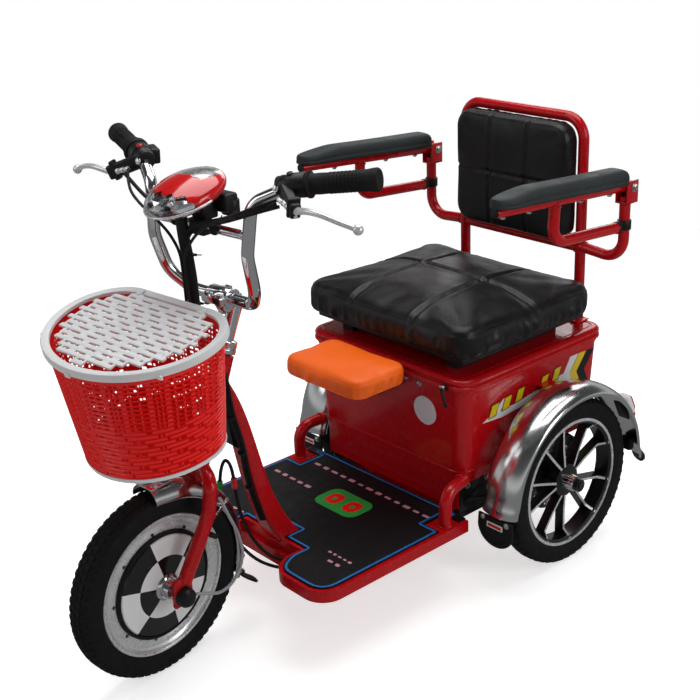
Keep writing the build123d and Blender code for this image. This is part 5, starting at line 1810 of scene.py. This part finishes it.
def seatFramePiece():
    bm = bmesh.new()
    facts = seatFrame
    half, y = facts["half"], facts["y"]
    hoop = [(half, y, facts["low"]), (half, y, facts["high"]), (-half, y, facts["high"]),
            (-half, y, facts["low"])]
    addPipe(bm, hoop, [facts["bend"]] * 2, facts["radius"], sides=14)
    addRod(bm, (-half, y, 0.603), (half, y, 0.603), 0.009, sides=32)
    for sign in (-1, 1):
        foot, arm = sign * half, sign * armFacts["x"]
        addPipe(bm, [(foot, y, 0.607), (arm, y, 0.599), (arm, y, 0.732)], [0.042], facts["radius"], sides=14)
        addWeld(bm, (sign * 0.15, y, 0.603), (1, 0, 0), 0.0092)
        addWeld(bm, (sign * 0.1735, y, 0.6062), (1, 0, 0), 0.0112)
        addWeld(bm, (foot, y, 0.449), (0, 0, 1), 0.0114, 0.002)
        addBlock(bm, (foot - 0.02, y - 0.026, 0.4476), (foot + 0.02, y + 0.012, 0.4506), 0.0012)
        addBolt(bm, (foot, y - 0.019, 0.4504), (0, 0, 1), 0.0045, 0.0045, 1)
        for x in (arm - 0.013, arm + 0.013):
            addBlock(bm, (x - 0.0015, y - 0.014, 0.718), (x + 0.0015, y + 0.022, 0.764), 0.0012)
        addBlock(bm, (arm - 0.0145, y - 0.014, 0.718), (arm + 0.0145, y + 0.022, 0.722), 0.0012)
        addBlock(bm, (arm - 0.0145, y + 0.019, 0.718), (arm + 0.0145, y + 0.022, 0.748), 0.0012)
        pivot = (armFacts["y"], armFacts["z"])
        addRod(bm, (arm - 0.018, *pivot), (arm + 0.018, *pivot), 0.004, sides=16, look=1)
        for side in (-1, 1):
            addBolt(bm, (arm + side * 0.0145, *pivot), (side, 0, 0), 0.0065, 0.0055, 1)
        addRod(bm, (arm, y, 0.664), (arm, y, 0.684), 0.014, sides=28, soften=0.0015, look=2)
        addBlock(bm, (arm - 0.007, y - 0.024, 0.665), (arm + 0.007, y - 0.008, 0.683), 0.002, 2)
    finished("seatFrame", bm, ["redPaint", "zincBolt", "blackPlastic"], "seat_lid", ("backrest_frame",),
             angle=35)


padShape = {"front": -0.399, "rear": -0.022, "low": 0.009, "half": 0.0265, "height": 0.031, "steps": 56}
padSection = [(-0.9, 0.0), (-1.0, 0.05), (-1.02, 0.24), (-0.95, 0.31), (-0.965, 0.38), (-0.97, 0.55),
              (-0.9, 0.78), (-0.74, 0.93), (-0.48, 0.985), (0, 1.0)]


def armPadMesh(bm):
    # a long foam pad: rounded over the top, with a lip along its foot and round drooping ends
    facts = padShape
    outline = padSection + [(-u, v) for u, v in reversed(padSection[:-1])]
    rings = []
    for k in range(facts["steps"] + 1):
        t = 0.5 - 0.5 * cos(pi * (k / facts["steps"]))
        y = facts["front"] + (facts["rear"] - facts["front"]) * t
        ahead, behind = y - facts["front"], facts["rear"] - y
        a, b = clamp(ahead / 0.042, 0, 1), clamp(behind / 0.018, 0, 1)
        wide = max(sqrt(max(0.0, 1 - (1 - a) ** 2)), 0.05) * max((1 - (1 - b) ** 2.4) ** 0.42, 0.05)
        tall = (0.56 + 0.44 * smoothStep(-0.012, 0.11, ahead)) * (0.72 + 0.28 * smoothStep(0, 0.02, behind))
        half, height = facts["half"] * wide, facts["height"] * tall
        dip = 0.0012 * sin(pi * t) ** 2
        rings.append([bm.verts.new((u * half, y, facts["low"] + v * height - dip * v)) for u, v in outline])
    for first, second in zip(rings, rings[1:]):
        strip(bm, first, second, across=True)
    bm.faces.new(list(reversed(rings[0])))
    bm.faces.new(rings[-1])


def armPieces(side, sign):
    place = Matrix.Translation((sign * armFacts["x"], armFacts["y"], armFacts["z"])) @ tilt(armFacts["slope"])
    bm = bmesh.new()
    armPadMesh(bm)
    body = "armrest_" + side
    finished("armPad" + side.capitalize(), bm, "foamSkin", body, ("armrest_pad_" + side,), place, angle=60)
    bm = bmesh.new()
    addRod(bm, (0, 0.012, 0), (0, -0.392, 0), 0.009, sides=36, soften=0.002)
    addPipe(bm, [(0, -0.226, 0), (0, -0.226, -0.08), (0, -0.03, -0.08)], [0.034], 0.011, sides=14)
    addWeld(bm, (0, -0.226, -0.0095), (0, 0, 1), 0.0112)
    addRod(bm, (0, -0.03, -0.08), (0, -0.026, -0.08), 0.0125, sides=28, soften=0.0012, look=2)
    for y in (-0.06, -0.15, -0.3, -0.372):
        addBlock(bm, (-0.016, y - 0.008, 0.0072), (0.016, y + 0.008, 0.0095), 0.0006)
        addBolt(bm, (0, y, -0.0085), (0, 0, -1), 0.0042, 0.0045, 1)
    addBlock(bm, (-0.0105, -0.014, -0.01), (0.0105, 0.013, 0.01), 0.003)
    addRod(bm, (0, -0.3915, 0), (0, -0.3945, 0), 0.0092, sides=24, soften=0.0012, look=2)
    looks = ["redPaint", "zincBolt", "blackPlastic"]
    finished("armFrame" + side.capitalize(), bm, looks, body, ("armrest_frame_" + side,), place, angle=35)


seatFramePiece()
for side, sign in (("left", 1), ("right", -1)):
    armPieces(side, sign)
print("seat frame and arms made")

# ---- mud flaps, tail lights and reflectors ----
rearFlap = {"half": 0.043, "top": 0.172, "y": -0.209, "thick": 0.005}


def rearFlapsPiece():
    bm = bmesh.new()
    facts = rearFlap
    x, z, half = rearPlaces["left"].translation.x + 0.002, facts["top"], facts["half"]
    loop = [(x - half, z), (x + half, z)]
    for k in range(25):
        turn = -pi * k / 24
        loop.append((x + half * 1.04 * cos(turn), 0.148 + 0.04 * sin(turn)))
    extruded(bm, [bm.verts.new((a, facts["y"], b)) for a, b in loop], (0, -facts["thick"], 0))
    bmesh.ops.recalc_face_normals(bm, faces=bm.faces)
    softened(bm, [edge for edge in bm.edges if edge.calc_face_angle(0) > 1.0], 0.0014)
    front = facts["y"] - facts["thick"]
    turns = [pi + pi * k / 20 for k in range(21)]
    ring = [(x + half * 0.86 * cos(a), front, 0.15 + 0.034 * sin(a)) for a in turns]
    addTube(bm, ring, 0.0016, 0, smooth=False, sides=3)
    addBlock(bm, (x - 0.02, front - 0.001, 0.1485), (x + 0.02, front + 0.001, 0.1605), 0.0015, 2)
    addBlock(bm, (x - 0.017, front - 0.0016, 0.151), (x + 0.017, front, 0.158), 0.0008, 1)
    for dx in (-0.03, 0.03):
        addBolt(bm, (x + dx, front, 0.1665), (0, -1, 0), 0.0042, 0.0035, 3)
    mirrorX(bm)
    looks = ["rubber", "lampRed", "whitePlastic", "zincBolt"]
    finished("rearFlaps", bm, looks, "chassis", ("rear_mud_flaps",), angle=40)


tailLamp = {"angle": 27, "radius": 0.21}


def tailLightsPiece():
    # the lamp on the rear slope of each mudguard: black foot, white body, red lens that looks back
    bm = bmesh.new()
    lift = tilt(tailLamp["angle"] - 90) @ Matrix.Translation((0, 0, tailLamp["radius"]))
    addBlock(bm, (-0.015, -0.028, -0.005), (0.015, 0.024, 0.0065), 0.0035, 2)
    addBlock(bm, (-0.017, -0.03, 0.0045), (0.017, 0.02, 0.0215), 0.0085, 0, segments=5)
    addBlock(bm, (-0.0145, -0.024, 0.015), (0.0145, 0.016, 0.0258), 0.006, 1, segments=4)
    addBlock(bm, (-0.015, 0.01, 0.004), (0.015, 0.031, 0.02), 0.006, 1, segments=4)
    placed(bm, bm.verts, rearPlaces["left"] @ Matrix.Translation((0.002, 0, 0)) @ lift)
    mirrorX(bm)
    finished("tailLights", bm, ["whitePlastic", "lampRed", "blackPlastic"], "chassis", ("tail_lights",))


reflector = {"place": (0.29, 0.24, 0.153), "radius": 0.017}


def reflectorsPiece():
    # round reflectors on short bent stalks behind the mudguards
    bm = bmesh.new()
    spot, radius = Vector(reflector["place"]), reflector["radius"]
    out = Vector((0.15, 1, 0.35)).normalized()
    stalk = [(0.282, 0.196, 0.196), (0.288, 0.214, 0.186), (0.29, 0.226, 0.17), spot - out * 0.004]
    addTube(bm, stalk, 0.0045, 0)
    addBlock(bm, (0.272, 0.188, 0.18), (0.3, 0.205, 0.206), 0.003, 0)
    addRod(bm, spot - out * 0.006, spot, radius, sides=36, soften=0.0012)
    addRod(bm, spot - out * 0.001, spot + out * 0.0028, radius * 0.86, sides=36, soften=0.001, look=1)
    mirrorX(bm)
    finished("reflectors", bm, ["blackPlastic", "stickerSilver"], "chassis")


def frontFlapPiece():
    bm = bmesh.new()
    root = wheelPoint(frontGuard["radius"] + 0.002, 201, 0)
    rows = 8
    grid = []
    for k in range(rows + 1):
        t = k / rows
        half = 0.029 * (1 - 0.12 * t) if t < 0.9 else 0.029 * 0.75
        y, fall = -0.004 + 0.05 * t ** 1.2, 0.012 - 0.046 * t
        across = [u / 4 for u in range(-4, 5)]
        grid.append([bm.verts.new(root + Vector((half * u, y - 0.006 * abs(u) ** 2, fall))) for u in across])
    sheet = []
    for first, second in zip(grid, grid[1:]):
        sheet += strip(bm, first, second, closed=False)
    bmesh.ops.recalc_face_normals(bm, faces=sheet)
    bmesh.ops.solidify(bm, geom=sheet, thickness=0.0035)
    for x in (-0.015, 0.015):
        addBolt(bm, root + Vector((x, 0.006, 0.004)), (0, 1, 0.4), 0.0042, 0.004, 1)
    finished("frontFlap", bm, ["rubber", "zincBolt"], "steering", ("front_mud_flap",), frontHub)


def sidePlates():
    # the black plates that carry the trunk's rear corners and the brake cables on the rails
    bm = bmesh.new()
    addBlock(bm, (0.186, -0.216, 0.15), (0.1905, -0.12, 0.226), 0.0012)
    addBlock(bm, (0.17, -0.216, 0.1375), (0.1905, -0.12, 0.15), 0.0012)
    for y in (-0.196, -0.14):
        addBolt(bm, (0.1905, y, 0.205), (1, 0, 0), 0.005, 0.0045, 1)
    addTube(bm, [(0.196, -0.205, 0.18), (0.205, -0.16, 0.172), (0.218, -0.11, 0.176), (0.226, -0.06, 0.19)],
            0.0032, detail=6)
    mirrorX(bm)
    finished("sidePlates", bm, ["blackPaint", "zincBolt"], "chassis")


sidePlates()
rearFlapsPiece()
tailLightsPiece()
reflectorsPiece()
frontFlapPiece()

# ---- front axle caps, mudguard stays and the fork's brackets ----
axleCap = [(0.07, 0.0), (0.07, 0.0175), (0.0725, 0.0185), (0.084, 0.0175), (0.0895, 0.014), (0.0915, 0.008),
           (0.0918, 0.0)]


def frontAxlePiece():
    bm = bmesh.new()
    addRod(bm, (-0.078, 0, 0), (0.078, 0, 0), 0.0078, sides=28)
    mirrorX(bm, addLathe(bm, axleCap, 44, 1))
    finished("frontAxle", bm, ["turnedSteel", "blackPlastic"], "steering", ("front_axle",), frontHub,
             angle=25)


def forkDressing():
    # stays from the mudguard to the legs, the plate on the crown and the leg's cable tie
    bm = bmesh.new()
    for sign in (-1, 1):
        stay = [(sign * 0.031, 0.15, 0.113), (sign * 0.046, 0.11, 0.104), (sign * 0.062, 0.078, 0.108)]
        addTube(bm, stay, 0.0026, 0, sides=4)
        addBolt(bm, (sign * 0.032, 0.148, 0.113), (sign, 0, 0), 0.004, 0.003, 1)
        addBlock(bm, (sign * 0.066 - 0.0052, -0.017, -0.021), (sign * 0.066 + 0.0052, 0.023, 0.034), 0.0018,
                 2)
        addBolt(bm, (sign * 0.0715, 0.014, 0.026), (sign, 0, 0), 0.0038, 0.003, 1)
    addRod(bm, (0.066, 0.0735, 0.086), (0.066, 0.0765, 0.091), 0.0142, sides=24, look=3)
    addBlock(bm, (-0.022, -0.015, 0.1975), (0.022, 0.04, 0.2), 0.0008, 0)
    for x in (-0.013, 0.013):
        addBolt(bm, (x, 0.0, 0.2), (0, 0, 1), 0.0048, 0.0045, 1)
    looks = ["chrome", "zincBolt", "redPaint", "blackPlastic"]
    finished("forkDressing", bm, looks, "steering", place=frontHub)


frontAxlePiece()
forkDressing()

# ---- the hose loop between the fork and the deck, and the loom down the frame ----
hoseLoop = [(0.078, -0.5, 0.126), (0.075, -0.54, 0.118), (0.046, -0.572, 0.118), (0.016, -0.606, 0.142),
            (-0.004, -0.634, 0.196), (-0.014, -0.648, 0.262), (-0.012, -0.646, 0.318),
            (-0.006, -0.642, 0.348), (0.004, -0.64, 0.36), (0.014, -0.637, 0.35), (0.019, -0.636, 0.322),
            (0.021, -0.636, 0.29), (0.022, -0.624, 0.225), (0.03, -0.6, 0.17), (0.046, -0.574, 0.138),
            (0.06, -0.54, 0.128), (0.06, -0.505, 0.128)]
loomRoute = [(20, -42, 16), (31, -28, -20), (34, -26, -60), (33, -20, -104), (31, -7, -144), (28, 2, -184),
             (22, 10, -224), (17, 20, -264), (15, 32, -304), (12, 47, -348)]


def hosesPiece():
    bm = bmesh.new()
    addTube(bm, hoseLoop, 0.0032, detail=8)
    addRod(bm, (0.0188, -0.6362, 0.325), (0.0202, -0.6362, 0.305), 0.006, sides=14, soften=0.001, look=1)
    addRod(bm, (-0.012, -0.646, 0.312), (-0.013, -0.647, 0.294), 0.0055, sides=14, soften=0.001, look=2)
    finished("hoses", bm, ["blackCable", "lampRed", "stickerGreen"], "chassis")


def frameLoomPiece():
    # three cables side by side down the tube, tied together
    bm = bmesh.new()
    for dx, dy, radius in ((-5.2, 4.0, 0.0033), (0.6, 1.5, 0.0037), (5.4, 5.0, 0.0029)):
        line = [fromHead(x + dx, y + dy, z) for x, y, z in loomRoute]
        addTube(bm, line, radius, detail=8)
    for index in (1, 3, 5, 7):
        x, y, z = loomRoute[index]
        first, second = fromHead(x, y + 3, z), fromHead(*loomRoute[index + 1])
        aim = (second - first).normalized()
        addRod(bm, first, first + aim * 0.004, 0.0088, sides=16, soften=0.0008, look=1)
    finished("frameLoom", bm, ["blackCable", "blackPlastic"], "chassis", ("frame_loom",))


def loomBridge():
    # the flexible stretch between the sleeve on the stem and the loom on the frame
    first = headPlace @ atHead(-3, -38, 34)
    last = fromHead(20, -42, 16)
    middle = (first + last) / 2 + Vector((0.006, -0.016, 0.002))
    bm = bmesh.new()
    line = [headPlace @ atHead(-6, -43, 52), first, middle, last, fromHead(25, -36, -4)]
    addTube(bm, line, 0.0088, detail=10, sides=6)
    piece = finished("loomBridge", bm, "blackCable", None)
    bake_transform(piece)


hosesPiece()
frameLoomPiece()
loomBridge()
print("details made")

# ---- the CAD pieces whose shape is right get their finish ----
plainNodes = {"redPaint": ("main_tube", "under_frame", "platform_deck", "trunk_box", "fork"),
              "blackPaint": ("rear_axle", "child_seat_bracket", "seat_base"),
              "blackCable": ("steering_loom", "brake_cables"), "greyCable": ("hub_wire",),
              "chrome": ("basket_bracket",), "deckMat": ("deck_mat",), "caseGrey": ("battery_block",),
              "blackPlastic": ("cable_guide",)}
for look, names in plainNodes.items():
    for node in names:
        materials = nodes[node].data.materials
        materials.clear()
        materials.append(finishes[look].material)
